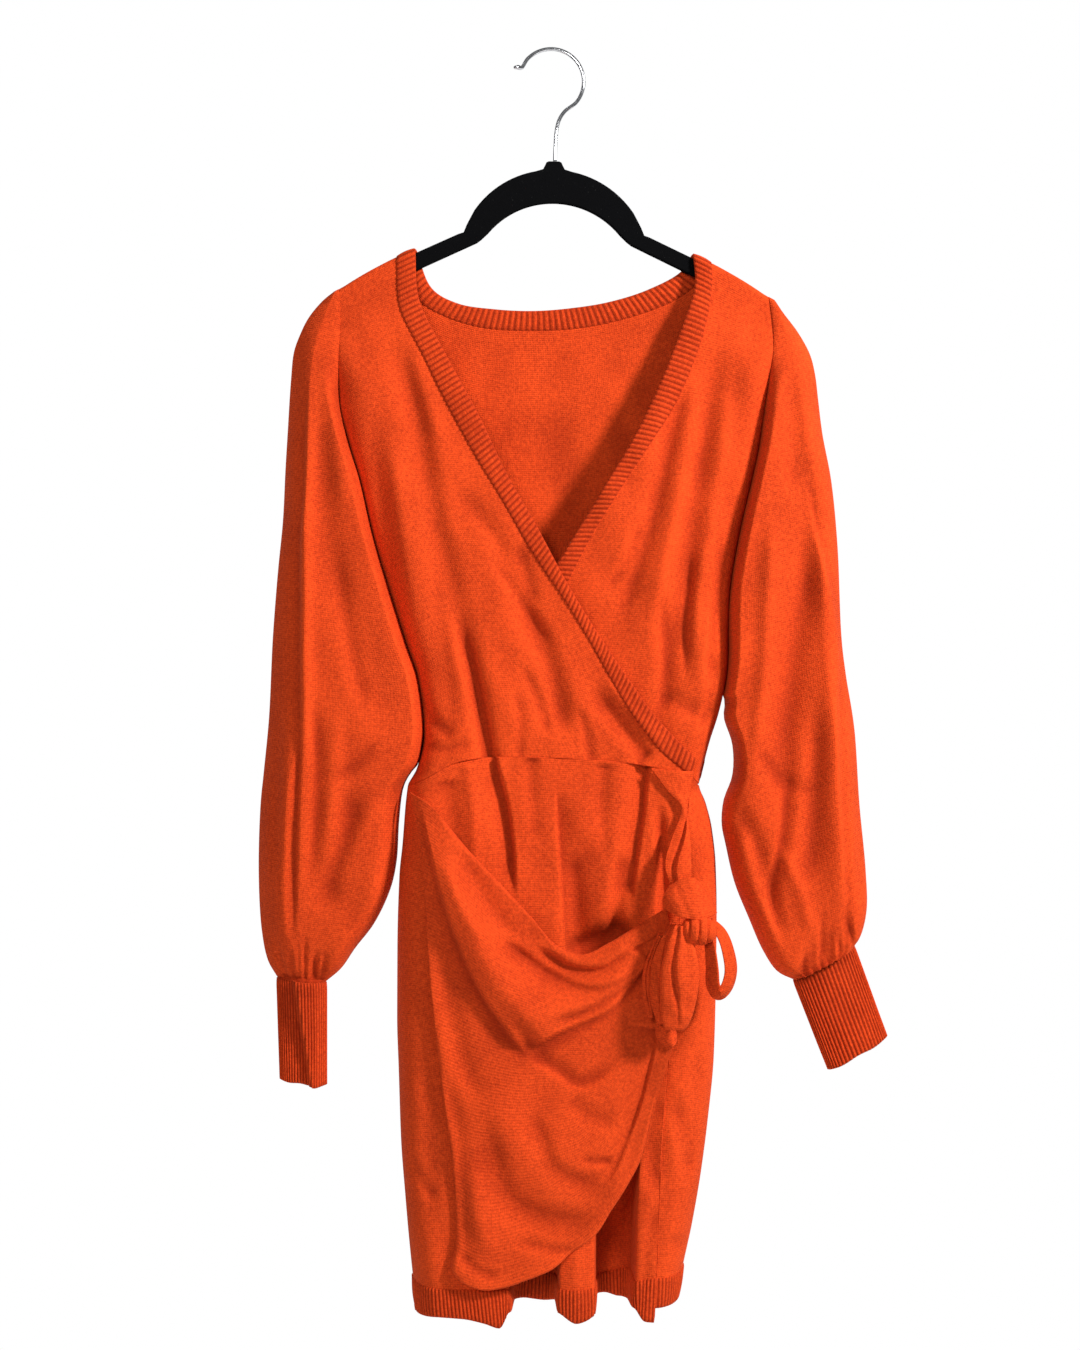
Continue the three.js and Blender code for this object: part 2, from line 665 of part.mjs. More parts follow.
// Sleeves: front and back halves meet on the outer fold line and, below the body's fold, along
// the underarm. mid is the depth of the cloth between its edges, and the reaches are how far in
// from each edge it turns.
const sleeveColumns = ['z', 'mid', 'outerReach', 'innerReach'];
const sleeveFrontDepth = table(sleeveColumns, [
  [-205, -6, 5, 4],
  [-222, -8, 8, 4],
  [-251, -14, 12, 6],
  [-280, -20, 16, 8],
  [-307, -24, 18, 8],
  [-378, -31, 20, 8],
  [-470, -34, 20, 8],
  [-600, -36, 20, 8],
  [-646, -35, 20, 12],
  [-700, -34, 20, 16],
  [-770, -28, 18, 16],
  [-800, -22, 16, 14],
  [-820, -13, 14, 12],
]);
const sleeveBackDepth = table(sleeveColumns, [
  [-205, 6, 5, 4],
  [-222, 7, 8, 4],
  [-251, 11, 12, 6],
  [-280, 14, 14, 8],
  [-307, 16, 14, 8],
  [-378, 18, 14, 8],
  [-470, 20, 14, 8],
  [-600, 21, 14, 8],
  [-646, 20, 14, 10],
  [-700, 19, 14, 12],
  [-770, 16, 14, 12],
  [-800, 13, 14, 12],
  [-820, 10, 12, 12],
]);

const rightSleeveOuter = [
  [-203.5, -219.8], [-216, -234.9], [-223.5, -249.9], [-228.8, -264.9], [-231.4, -289.5],
  [-234.4, -337], [-236.3, -368.7], [-238.5, -413.2], [-242.9, -458.1], [-247.4, -516.5],
  [-250.8, -586.9], [-255.2, -632.7], [-258.3, -664.4], [-259.8, -726], [-256.9, -775.3],
  [-251.5, -800.5], [-243.5, -814.5],
];
const rightUnderarm = [
  [-123.5, -632], [-131.8, -646], [-136, -674.4], [-138.5, -713.3], [-144, -737.5],
  [-158.3, -767.7], [-174.9, -789.3], [-187.1, -807], [-200.5, -818.5],
];
const leftSleeveOuter = [
  [200.8, -229.5], [214.8, -248.1], [225.3, -267.5], [229.7, -285.1], [232.3, -307.1],
  [235.9, -337], [243.7, -379.3], [249.1, -435.6], [252.6, -516.5], [256.1, -546.5],
  [263.8, -595.7], [268.4, -664], [273.7, -719.6], [274.6, -755], [269.5, -777],
  [263.5, -786.5],
];
const leftUnderarm = [
  [150.5, -572], [149.5, -586.3], [157, -610.4], [157, -637.7], [149.1, -660], [147.5, -680],
  [151, -698.3], [158.8, -731.4], [170.9, -761.6], [184.4, -792.3], [196.6, -809.8],
  [210.5, -816.7],
];

const rightSleeveFolds = [
  { path: [[-211, -265], [-217, -330], [-219.8, -382.3], [-221.5, -480], [-219.8, -600.9],
    [-223.3, -691.7], [-225, -753], [-227.6, -801.4]], deep: 8, before: 3.5, after: 12 },
  { path: [[-172, -640], [-182, -700], [-204, -760]], deep: 4, before: 12, after: 12 },
  { path: [[-205, -300], [-198, -400], [-180, -520]], deep: 3, before: 16, after: 16 },
];
const leftSleeveFolds = [
  { path: [[212, -360], [217.4, -397.4], [238, -488.4], [241.5, -570.8], [244.1, -662.3],
    [246.4, -723.1], [249.3, -775]], deep: -5, before: 8, after: 12 },
  { path: [[196, -300], [190, -400], [181, -520], [180, -640]], deep: 4, before: 12, after: 12 },
  { path: [[226, -560], [224, -660], [214, -740]], deep: 4, before: 12, after: 12 },
];

function addSleeve(side, bodyEdges, outer, underarm, folds) {
  const isRight = side === 'right';
  const start = onShoulder(isRight ? -shoulderEnd : shoulderEnd);
  const underarmRows = 6;
  const away = isRight ? -seamClearance : seamClearance;
  const outerLine = curve([[start[0] + (isRight ? -5 : 5), start[1] - 2.5], ...outer]);
  const innerLineOf = (bodyEdge) => {
    const throat = bodyEdge.filter((point) => point.z > underarm[0][1] + 4)
      .map((point) => new THREE.Vector3(point.x + away, 0, point.z));
    const below = curve([[throat.at(-1).x, throat.at(-1).z], ...underarm]);
    const shown = below.getSpacedPoints(underarmRows * 3);
    const line = edgePath([...throat, ...shown.slice(1)]);
    const lengths = line.getCurveLengths();
    const total = lengths.at(-1);
    const shares = [0, ...lengths.slice(0, throat.length - 1).map((length) => length / total)];
    const rest = Array.from({ length: underarmRows }, (unused, i) => (
      mix(shares.at(-1), 1, (i + 1) / underarmRows)
    ));
    return { line, shares: [...shares, ...rest] };
  };
  const half = (depthRows, front) => {
    const mid = column(depthRows, 'mid');
    const bodyDepthAt = front ? bodyFront : bodyBack;
    const sideDepth = (z) => bodyDepthAt(isRight ? rightX(z) : leftX(z), z);
    const outerReach = column(depthRows, 'outerReach');
    const innerReach = column(depthRows, 'innerReach');
    const outerOnLeft = isRight === front;
    const toward = front ? -1 : 1;
    const bodyEdge = front ? bodyEdges.front : bodyEdges.back;
    const { line: innerLine, shares } = innerLineOf(bodyEdge);
    return sheetGrid({
      left: outerOnLeft ? outerLine : innerLine,
      right: outerOnLeft ? innerLine : outerLine,
      across: fractions(front ? 11 : 6, 0.72),
      down: shares,
      depth: (x, z, near) => {
        const fromOuter = outerOnLeft ? near.left : near.right;
        const fromInner = outerOnLeft ? near.right : near.left;
        const room = (near.left + near.right) / 2;
        const sunk = front ? foldDepth(folds, x, z) : 0;
        const edge = toward * seamGap / 2;
        const y = mix(edge, mid(z) + sunk, roundOff(fromOuter, Math.min(outerReach(z), room)));
        const seam = z > underarm[0][1] ? sideDepth(z) : edge;
        return mix(seam, y, roundOff(fromInner, Math.min(innerReach(z), room)));
      },
    });
  };
  const bothSides = ['left', 'right'];
  add(`${side}_sleeve_front`, clothWall(half(sleeveFrontDepth, true), bothSides));
  add(`${side}_sleeve_back`, clothWall(half(sleeveBackDepth, false), bothSides));
  const [endX, endZ] = underarm.at(-1);
  return { top: outerLine.getPointAt(1), bottom: new THREE.Vector3(endX, 0, endZ) };
}

// Cuffs: ribbed tubes whose ribs run lengthwise. The section is a flattened ring; fold pushes
// part of its front forward, as where the tube is folded over itself.
function addCuff(name, { outerTop, innerTop, outerEnd, innerEnd, halfDepth, fold }) {
  const ribs = 48;
  const rows = 1;
  const grid = [];
  for (let r = 0; r <= rows; r += 1) {
    const t = r / rows;
    const a = [mix(outerTop[0], outerEnd[0], t), mix(outerTop[1], outerEnd[1], t)];
    const b = [mix(innerTop[0], innerEnd[0], t), mix(innerTop[1], innerEnd[1], t)];
    const leftmost = a[0] < b[0] ? a : b;
    const rightmost = a[0] < b[0] ? b : a;
    const row = [];
    for (let c = 0; c < ribs * 2; c += 1) {
      const angle = -Math.PI + (c / (ribs * 2)) * 2 * Math.PI;
      const s = (Math.cos(angle) + 1) / 2;
      const forward = fold ? fold.deep * ease((s - fold.from) / fold.rise) * ease((1 - s) / 0.2) : 0;
      const isFront = Math.sin(angle) < 0;
      const y = halfDepth * Math.sin(angle) - (isFront ? forward : forward * 0.5);
      row.push(new THREE.Vector3(mix(leftmost[0], rightmost[0], s), y,
        mix(leftmost[1], rightmost[1], s)));
    }
    grid.push(row);
  }
  add(name, ribbedWall(grid, () => true, true, 2));
}

// Skirt: fold lines that run down the front panel. hemX is where each meets the hem, deep how
// far it lies behind the lobes there and hemZ the hem's lower edge on it.
const skirtLines = table(['hemX', 'deep', 'hemZ'], [
  [-123.8, 0, -1107],
  [-121.5, 0, -1104],
  [-100, 0, -1099],
  [-81, -2, -1099.5],
  [-62, -3, -1103],
  [-48, -2, -1107.5],
  [-39.5, 0, -1095],
  [-36, 40, -1097],
  [-25, 49, -1098],
  [-8, 49, -1100],
  [1.5, 40, -1097],
  [5, 0, -1096],
  [19, -3, -1103.4],
  [33.5, 0, -1098],
  [37.5, 40, -1092],
  [47, 48, -1093],
  [58, 48, -1096],
  [66.5, 38, -1096],
  [69.5, 0, -1091],
  [78, -3, -1101],
  [86, -1, -1103],
]);
const sideSeamX = table(['z', 'x'], [
  [-636, 117.5],
  [-880, 97.8],
  [-981, 90.4],
  [-1085, 86.1],
  [-1115, 84.5],
]);
const seamAt = column(sideSeamX, 'x');
const ribSeamHeight = (x) => mix(-1075.5, -1066, ease((x - 40) / 50));
const valleyShare = (z) => ease((-z - 860) / 200);

const skirtFolds = [
  { path: [[-50, -610], [-49.4, -629.4], [-46, -657], [-39.9, -694.5], [-39.9, -725.8]],
    deep: 6, before: 9, after: 9, fullEnds: true },
  { path: [[26, -700], [26.5, -742.9], [24, -790]], deep: 4, before: 12, after: 12 },
  { path: [[81.8, -622], [75.7, -657], [73, -700], [72.1, -742.9]],
    deep: 5, before: 10, after: 10, fullEnds: true },
];

// The height of the skirt's edge below a row of bodice points that it is seamed to
function underSeam(row, x) {
  let i = 0;
  while (i < row.length - 2 && row[i + 1].x < x) i += 1;
  const t = clamp01((x - row[i].x) / (row[i + 1].x - row[i].x));
  return mix(row[i].z, row[i + 1].z, t) - 2 * seamClearance;
}

function skirtFrontGrid() {
  const last = skirtLines.length - 1;
  const rows = fractions(14, 0.2);
  const lineX = (j, z, t) => {
    const from = rightX(z);
    const to = seamAt(z);
    const hemShare = (skirtLines[j].hemX - skirtLines[0].hemX)
      / (skirtLines[last].hemX - skirtLines[0].hemX);
    const waistShare = fractions(last, 0.35)[j];
    return mix(from, to, mix(waistShare, hemShare, ease(t * 1.05)));
  };
  return rows.map((t) => skirtLines.map((line, j) => {
    let x = mix(-128.5, 117.5, j / last);
    let z = 0;
    for (let pass = 0; pass < 3; pass += 1) {
      z = mix(underSeam(bodiceEdge.waist, x), ribSeamHeight(line.hemX), t);
      x = lineX(j, z, t);
    }
    const fold = foldDepth(skirtFolds, x, z);
    return new THREE.Vector3(x, bodyFront(x, z) + line.deep * valleyShare(z) + fold, z);
  }));
}

// The back panel wraps forward past the wearer's left side to the side seam in front.
function skirtBackRow(frontShares, backShares, heightAt) {
  const points = [];
  const place = (share, onFront) => {
    let z = heightAt(0, onFront);
    let x = 0;
    for (let pass = 0; pass < 3; pass += 1) {
      const seam = seamAt(z) + 2 * seamClearance;
      x = onFront ? mix(seam, leftX(z), share) : mix(leftX(z), rightX(z), share);
      z = heightAt(x, onFront);
    }
    const y = onFront ? bodyFront(x, z) : bodyBack(x, z);
    points.push(new THREE.Vector3(x, y, z));
  };
  frontShares.forEach((share) => place(share, true));
  backShares.forEach((share) => place(share, false));
  return points;
}

function addSkirt() {
  const front = skirtFrontGrid();
  add('skirt_front', clothWall(front, ['left', 'levelTop']));
  const frontShares = [0, 0.4, 0.7, 0.88, 0.96, 0.992];
  const backShares = [0, 0.012, 0.04, 0.1, 0.25, 0.5, 0.75, 0.9, 0.96, 0.988, 1];
  const backWaist = (x) => mix(-646.6, -641.2, ease((128 - Math.abs(x)) / 60));
  const frontWaist = (x) => mix(underSeam(bodiceEdge.leftWaist, x), backWaist(x), ease((x - 122) / 5));
  const back = fractions(7, 0.2).map((t) => (
    skirtBackRow(frontShares, backShares, (x, onFront) => (
      mix(onFront ? frontWaist(x) : backWaist(x), ribSeamHeight(x), t)
    ))
  ));
  add('skirt_back', clothWall(back, ['right', 'levelTop']));

  const hemPitch = 3.2;
  const ribbedStrip = (top, bottom) => {
    const topLine = new THREE.CatmullRomCurve3(top, false, 'centripetal');
    const bottomLine = new THREE.CatmullRomCurve3(bottom, false, 'centripetal');
    const ribs = Math.round(topLine.getLength() / hemPitch / 2) * 2;
    const count = ribs * 2;
    topLine.arcLengthDivisions = 800;
    bottomLine.arcLengthDivisions = 800;
    const tops = topLine.getSpacedPoints(count);
    const bottoms = bottomLine.getSpacedPoints(count);
    return [0, 1].map((v) => tops.map((point, i) => point.clone().lerp(bottoms[i], v)));
  };
  const drop = seamGap + 0.1;
  const below = front.at(-1).map((point) => point.clone().add(new THREE.Vector3(0, 0, -drop)));
  const frontEdge = skirtLines.map((line) => {
    const x = line.hemX * 0.985;
    return new THREE.Vector3(x, bodyFront(x, line.hemZ) + line.deep, line.hemZ);
  });
  add('hem_front', ribbedWall(ribbedStrip(below, frontEdge)));
  const backTop = back.at(-1).map((point) => point.clone().add(new THREE.Vector3(0, 0, -drop)));
  const backHem = (x) => mix(-1104, -1091, ease((x + 90) / 180));
  const backEdge = skirtBackRow(frontShares, backShares, backHem);
  add('hem_back', ribbedWall(ribbedStrip(backTop, backEdge)));
}

// The overlay: a draped panel from the right side seam across the front into the knot
const overlayTop = [
  [-126, -650.5], [-109, -658.8], [-90.8, -677.7], [-73.7, -698.4], [-51, -722.2],
  [-20, -755.6], [2.2, -780.2], [24.8, -788], [44.9, -779.1], [60.2, -770.1], [80.7, -757],
  [96, -748],
];
const overlayLeft = [
  [-126, -650.5], [-119, -675], [-112.7, -704.9], [-109.4, -771.7], [-104.9, -827.9],
  [-98.2, -883.8], [-93.6, -919.7], [-88.5, -954.8], [-84.5, -1004.1], [-84.5, -1035.3],
  [-88.5, -1055], [-82, -1067],
];
const overlayBottom = [
  [-82, -1067], [-60.8, -1074.5], [-41.2, -1072.3], [-21.7, -1065.5], [-0.1, -1056.1],
  [13.6, -1044.2], [36.2, -1026.7], [48.8, -1007.1], [62.6, -985.5], [74.1, -962.3],
  [85.9, -915.4], [99.6, -870.5],
];
const overlayRight = [[96, -748], [100, -775], [103, -810], [99.6, -870.5]];
const overlayFolds = [
  { path: [[-112, -675], [-95, -715], [-70, -765], [-40, -815], [-14, -836], [24, -822],
    [60, -800], [88, -772]], deep: -14, before: 20, after: 14 },
  { path: [[-88.4, -790], [-63, -830], [-30, -878], [-10, -872], [38, -848], [70, -830]],
    deep: 6, before: 14, after: 18 },
  { path: [[-60, -905], [-20, -950], [40, -965], [80, -900]], deep: -4, before: 24, after: 30 },
  { path: [[-82, -905], [-54, -980], [-30, -998], [28, -1008]], deep: 4, before: 18, after: 18 },
];

function addOverlay() {
  const underBow = -52.5;
  const toKnot = new THREE.Vector2(96, -748);
  add('overlay', clothWall(sheetGrid({
    left: curve(overlayLeft),
    right: curve(overlayRight),
    top: curve(overlayTop),
    bottom: curve(overlayBottom),
    across: fractions(16, 0.3),
    down: fractions(14, 0.2),
    depth: (x, z, near) => {
      const over = clothThickness + 4 + 5 * roundOff(near.left, 40);
      const pulled = 14 * Math.exp(-((toKnot.distanceTo(new THREE.Vector2(x, z)) / 45) ** 2));
      const fold = Math.min(foldDepth(overlayFolds, x, z), over - clothThickness - 1.5);
      const free = bodyFront(x, z) - over - pulled + fold;
      return mix(free, Math.max(free, underBow), ease((x - 50) / 24));
    },
  })));
}

// Bow: each loop is a strip that goes down in front, turns at its tip and comes up behind.
// fullness below 1 keeps its two legs apart until close to the tip.
function bowLoop({ root, tip, halfWidth, middle, halfDepth, curl }) {
  const length = Math.hypot(tip[0] - root[0], tip[1] - root[1]);
  const dx = (tip[0] - root[0]) / length;
  const dz = (tip[1] - root[1]) / length;
  const steps = 12;
  const sides = [-1, -0.5, 0, 0.5, 1];
  const fullness = 0.5;
  const grid = [];
  for (let i = 0; i <= steps; i += 1) {
    const angle = (i / steps) * Math.PI;
    const along = length * Math.sin(angle);
    const width = halfWidth * (0.45 + 0.55 * Math.sin(angle) ** 0.6);
    const leg = Math.sign(Math.cos(angle)) * Math.abs(Math.cos(angle)) ** fullness;
    grid.push(sides.map((s) => new THREE.Vector3(
      root[0] + dx * along - dz * width * s,
      middle - leg * (halfDepth - curl * s * s),
      root[1] + dz * along + dx * width * s,
    )));
  }
  return clothWall(grid);
}

function addBow() {
  add('bow_puff_inner', bowLoop({ root: [114.5, -772.3], tip: [108.8, -846.5],
    halfWidth: 10.5, middle: -72, halfDepth: 8, curl: 4 }));
  add('bow_puff_outer', bowLoop({ root: [97, -768], tip: [90.6, -844],
    halfWidth: 8.4, middle: -66.4, halfDepth: 7.5, curl: 2.8 }));
  add('bow_loop_thin', bowLoop({ root: [86, -775], tip: [80.5, -838],
    halfWidth: 3.6, middle: -58.2, halfDepth: 4.2, curl: 0.1 }));
  add('bow_loop_side', bowLoop({ root: [131.6, -771.9], tip: [141, -823],
    halfWidth: 8.5, middle: -63.9, halfDepth: 9, curl: 4 }));
  const tail = sheetGrid({
    left: curve([[86, -812], [86.5, -842], [87, -858], [97, -868.5]]),
    right: curve([[100, -812], [99, -842], [104.5, -855], [104.5, -862]]),
    across: fractions(4, 0),
    down: fractions(5, 0),
    depth: (x, z, near) => -55.6 + 5 * (2 * near.u - 1) ** 2 * ease((-z - 835) / 20),
  });
  add('bow_tail', clothWall(tail));

  const bead = new THREE.SphereGeometry(1, 20, 10);
  const position = bead.getAttribute('position');
  for (let i = 0; i < position.count; i += 1) {
    const x = position.getX(i);
    const y = position.getY(i);
    const z = position.getZ(i);
    const pleat = 1 - 0.05 * Math.cos(x * 11) ** 8 * (z > 0 ? 1 : 0);
    position.setXYZ(i, x * 15.5, y * 10.5, z * 12 * pleat);
  }
  bead.rotateX(Math.PI / 2);
  bead.rotateY(0.12);
  bead.translate(123, -68, -762);
  add('knot_wrap', bead);

  add('knot_cover', clothWall(sheetGrid({
    left: curve([[97, -727], [91.5, -737], [91.3, -746.3]]),
    right: curve([[125, -727], [132, -737], [137.5, -749]]),
    top: curve([[97, -727], [107, -721.5], [117.5, -720.2], [125, -727]]),
    bottom: curve([[91.3, -746.3], [107.4, -752], [122, -754], [137.5, -750]]),
    across: fractions(8, 0.4),
    down: fractions(6, 0),
    depth: (x, z, { u, v }) => -58.5 - 21.4 * Math.sin(Math.PI * mix(0.06, 0.94, u)) ** 0.7
      * (0.45 + 0.55 * Math.sin((Math.PI / 2) * v)),
  })));

  add('side_tie', clothWall(sheetGrid({
    left: curve([[108.5, -646], [107, -690], [104, -719]]),
    right: curve([[117.5, -642], [117, -690], [113.5, -717.5]]),
    across: fractions(3, 0),
    down: fractions(8, 0),
    depth: (x, z, { u, v }) => bodyFront(x, z) - 4 - 24 * ease(v) - 1.5 * Math.sin(Math.PI * u),
  })));
}

addHanger();
addHook();
addBodice();
addBands();
const rightSleeveEnd = addSleeve('right', {
  front: bodice.right.map((row) => row[0]),
  back: bodice.back.map((row) => row.at(-1)),
}, rightSleeveOuter, rightUnderarm, rightSleeveFolds);
const leftSleeveEnd = addSleeve('left', {
  front: bodice.left.map((row) => row.at(-1)),
  back: bodice.back.map((row) => row[0]),
}, leftSleeveOuter, leftUnderarm, leftSleeveFolds);
addCuff('right_cuff', {
  outerTop: [rightSleeveEnd.top.x, rightSleeveEnd.top.z - 0.7],
  innerTop: [rightSleeveEnd.bottom.x, rightSleeveEnd.bottom.z - 0.7],
  outerEnd: [-240.5, -904],
  innerEnd: [-200.5, -818.5 - cuffLength],
  halfDepth: 8,
  fold: { from: 0.42, rise: 0.3, deep: 8 },
});
addCuff('left_cuff', {
  outerTop: [leftSleeveEnd.top.x + 0.3, leftSleeveEnd.top.z - 0.7],
  innerTop: [leftSleeveEnd.bottom.x + 0.3, leftSleeveEnd.bottom.z - 0.7],
  outerEnd: [292.5, -867],
  innerEnd: [241.5, -896],
  halfDepth: 9,
});
addSkirt();
addOverlay();
addBow();

export default group;
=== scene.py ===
# %% [markdown]
# A knit wrap dress on a slim hanger.
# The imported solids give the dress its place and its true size, but their faces are large.
# This lesson makes the cloth again as thin, smooth shells on the same lines, so that folds,
# ribs and rolled edges read at arm's length. It starts by loading the solids as a fixed frame.

# %% Load the frame
import math

import bpy
import numpy as np
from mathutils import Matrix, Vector


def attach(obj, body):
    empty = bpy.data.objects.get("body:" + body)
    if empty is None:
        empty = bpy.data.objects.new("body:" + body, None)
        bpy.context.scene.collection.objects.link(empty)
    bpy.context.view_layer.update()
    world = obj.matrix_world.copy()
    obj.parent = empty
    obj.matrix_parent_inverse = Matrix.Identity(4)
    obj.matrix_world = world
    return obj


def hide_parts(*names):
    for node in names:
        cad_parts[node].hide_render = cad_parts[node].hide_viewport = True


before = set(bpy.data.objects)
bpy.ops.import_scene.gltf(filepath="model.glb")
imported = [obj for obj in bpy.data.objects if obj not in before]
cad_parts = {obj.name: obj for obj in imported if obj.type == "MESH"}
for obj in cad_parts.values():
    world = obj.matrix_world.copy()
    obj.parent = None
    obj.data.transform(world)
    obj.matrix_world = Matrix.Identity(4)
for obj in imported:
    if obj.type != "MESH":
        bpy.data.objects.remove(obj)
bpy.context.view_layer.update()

# %% [markdown]
# The camera comes next. It stands level, 1.65 m in front of the hanger, a little left of the
# hook and at the height of the dress's middle, which is how a person photographs a dress that
# hangs on a wall. A 50 mm lens keeps the cloth free of perspective stretching.

# %% Camera
MM = 0.001
CAMERA_AT = (-12.3, -1650.0, -549.1)


def place_camera():
    data = bpy.data.cameras.new("dress_camera")
    data.lens = 50
    data.sensor_width = 36
    data.clip_start = 0.05
    data.clip_end = 30
    camera = bpy.data.objects.new("dress_camera", data)
    camera.location = [v * MM for v in CAMERA_AT]
    camera.rotation_euler = (math.radians(90), 0, 0)
    bpy.context.scene.collection.objects.link(camera)
    bpy.context.scene.camera = camera
    return camera


camera = place_camera()
print("camera at", tuple(camera.location))

# %% [markdown]
# Cloth is easiest to draw as curves in the front view with a depth at every point.
# These helpers read a table's column at any height, ease from one value to another, and give
# the quarter round that cloth makes where it turns away at an edge.

# %% Reading tables and easing
def table(names, rows):
    """Rows of numbers as named columns."""
    values = np.array(rows, float)
    return {name: values[:, i] for i, name in enumerate(names.split())}


def smooth_through(at, values):
    """A curve through values that never overshoots them; at rises."""
    slopes = np.diff(values) / np.diff(at)
    before, after = slopes[:-1], slopes[1:]
    same = before * after > 0
    total = np.where(same, before + after, 1)
    inner = np.where(same, 2 * before * after / total, 0)
    tangents = np.concatenate([slopes[:1], inner, slopes[-1:]])

    def read(x):
        x = np.clip(np.asarray(x, float), at[0], at[-1])
        i = np.clip(np.searchsorted(at, x, side="right") - 1, 0, len(at) - 2)
        h = at[i + 1] - at[i]
        t = (x - at[i]) / h
        start = values[i] * (1 + 2 * t) * (1 - t) ** 2 + tangents[i] * h * t * (1 - t) ** 2
        return start + values[i + 1] * t * t * (3 - 2 * t) - tangents[i + 1] * h * t * t * (1 - t)

    return read


def column(rows, name):
    """One column of a table whose first column, z, runs downward."""
    return smooth_through(rows["z"][::-1], rows[name][::-1])


def mix(a, b, t):
    return a + (b - a) * t


def ease(t):
    t = np.clip(t, 0, 1)
    return t * t * (3 - 2 * t)


def round_off(distance, reach):
    """0 at an edge, 1 from reach on, along a quarter circle."""
    left = 1 - np.clip(distance / reach, 0, 1)
    return np.sqrt(np.maximum(0, 1 - left * left))


print("halfway up a quarter round:", round(float(round_off(0.134, 1)), 2))

# %% [markdown]
# Seams and edges are smooth curves through a few measured points. A centripetal spline passes
# through its points without loops, however unevenly they are spaced.

# %% Lines through points
def spline(points, samples=16):
    """Close points along a centripetal spline through points of any dimension."""
    p = np.array(points, float)
    if len(p) == 2:
        return mix(p[0], p[1], np.linspace(0, 1, samples + 1)[:, None])
    p = np.vstack([2 * p[0] - p[1], p, 2 * p[-1] - p[-2]])
    t = np.linspace(0, 1, samples, endpoint=False)[:, None]
    parts = []
    for a, b, c, d in zip(p[:-3], p[1:-2], p[2:-1], p[3:]):
        da, db, dc = (max(np.linalg.norm(q - o), 1e-9) ** 0.5 for o, q in ((a, b), (b, c), (c, d)))
        leave = ((b - a) / da - (c - a) / (da + db) + (c - b) / db) * db
        arrive = ((c - b) / db - (d - b) / (db + dc) + (d - c) / dc) * db
        square = 3 * (c - b) - 2 * leave - arrive
        parts.append(b + leave * t + square * t ** 2 + (2 * (b - c) + leave + arrive) * t ** 3)
    return np.vstack([*parts, p[-2:-1]])


class Line:
    """A line through close points, read by the share of its length."""

    def __init__(self, points):
        self.points = np.asarray(points, float)
        steps = np.linalg.norm(np.diff(self.points, axis=0), axis=1)
        self.lengths = np.concatenate([[0], np.cumsum(steps)])

    @property
    def length(self):
        return self.lengths[-1]

    def at(self, shares):
        d = np.asarray(shares, float) * self.length
        return np.stack([np.interp(d, self.lengths, axis) for axis in self.points.T], axis=-1)


def fractions(count, crowding=0.75):
    """Shares from 0 to 1, crowded toward both ends so that turned edges stay round."""
    t = np.linspace(0, 1, count + 1)
    return t - crowding * np.sin(2 * np.pi * t) / (2 * np.pi)


print("shares:", np.round(fractions(6), 3))

# %% [markdown]
# A knit dress on a hanger folds in soft troughs that start at a shoulder, a seam or a knot and
# fade out. Each fold is a path in the front view with a depth, and a width on each side of it:
# an uneven pair of widths makes one flank steep, as where cloth laps over itself.

# %% Folds
def nearest_on(path, x, z):
    """Distance, side and share along a path, for arrays of points."""
    best = np.full(np.shape(x), np.inf)
    side = np.zeros(np.shape(x))
    along = np.zeros(np.shape(x))
    steps = len(path) - 1
    for i, ((ax, az), (bx, bz)) in enumerate(zip(path[:-1], path[1:])):
        dx, dz = bx - ax, bz - az
        t = np.clip(((x - ax) * dx + (z - az) * dz) / (dx * dx + dz * dz), 0, 1)
        off_x, off_z = x - ax - t * dx, z - az - t * dz
        distance = np.hypot(off_x, off_z)
        nearer = distance < best
        best = np.where(nearer, distance, best)
        side = np.where(nearer, dx * off_z - dz * off_x, side)
        along = np.where(nearer, (i + t) / steps, along)
    return best, side, along


def fold(path, deep, before, after=None, start=0.25, end=0.25):
    """A fold: deep goes in, and start and end are the shares over which it fades."""
    after = before if after is None else after
    return {"path": spline(path, 5), "deep": deep, "before": before, "after": after,
            "start": start, "end": end}


def fold_depth(folds, x, z):
    total = np.zeros(np.shape(x))
    for f in folds:
        distance, side, along = nearest_on(f["path"], x, z)
        width = np.where(side > 0, f["before"], f["after"])
        fade = ease((along + 1e-3) / max(f["start"], 1e-3))
        fade = fade * ease((1 - along + 1e-3) / max(f["end"], 1e-3))
        total += f["deep"] * np.exp(-((distance / width) ** 2)) * fade
    return total


def ripples(x, z, size, seed):
    """Slow uneven waves of about 1 mm, which no real cloth is without."""
    draw = np.random.default_rng(seed)
    total = np.zeros(np.shape(x))
    for _ in range(9):
        angle, phase = draw.uniform(-0.9, 0.9), draw.uniform(0, 2 * np.pi)
        length = size * draw.uniform(0.6, 1.7)
        total += np.sin((x * np.cos(angle) + z * np.sin(angle)) * 2 * np.pi / length + phase)
    return total / 3


print("ripple sample:", round(float(ripples(10.0, -400.0, 60, 1)), 3))

# %% [markdown]
# Every shell is made from a grid of points on the cloth's outer face. The inner face lies one
# cloth thickness behind it, and a rim of points pushed a third of a thickness out joins the two,
# so that a cut or knitted edge looks rolled and not sawn. The grid's own lengths become the UV
# map in metres, which is what the knit pattern is drawn in. Two numbers kept on the points
# paint shade into the colour: how deep a point lies between two ribs, and how deep it lies in a
# crease of the cloth; rib gaps and creases are painted darker, and ridges are painted lighter.

# %% From a grid to a shell of cloth
CLOTH = 1.6
RIM_OUT = 0.35
BROAD_STEPS, BROAD_DEPTH = 40, 5
NARROW_STEPS, NARROW_DEPTH = 8, 2.4


def unit(v):
    return v / np.maximum(np.linalg.norm(v, axis=-1, keepdims=True), 1e-9)


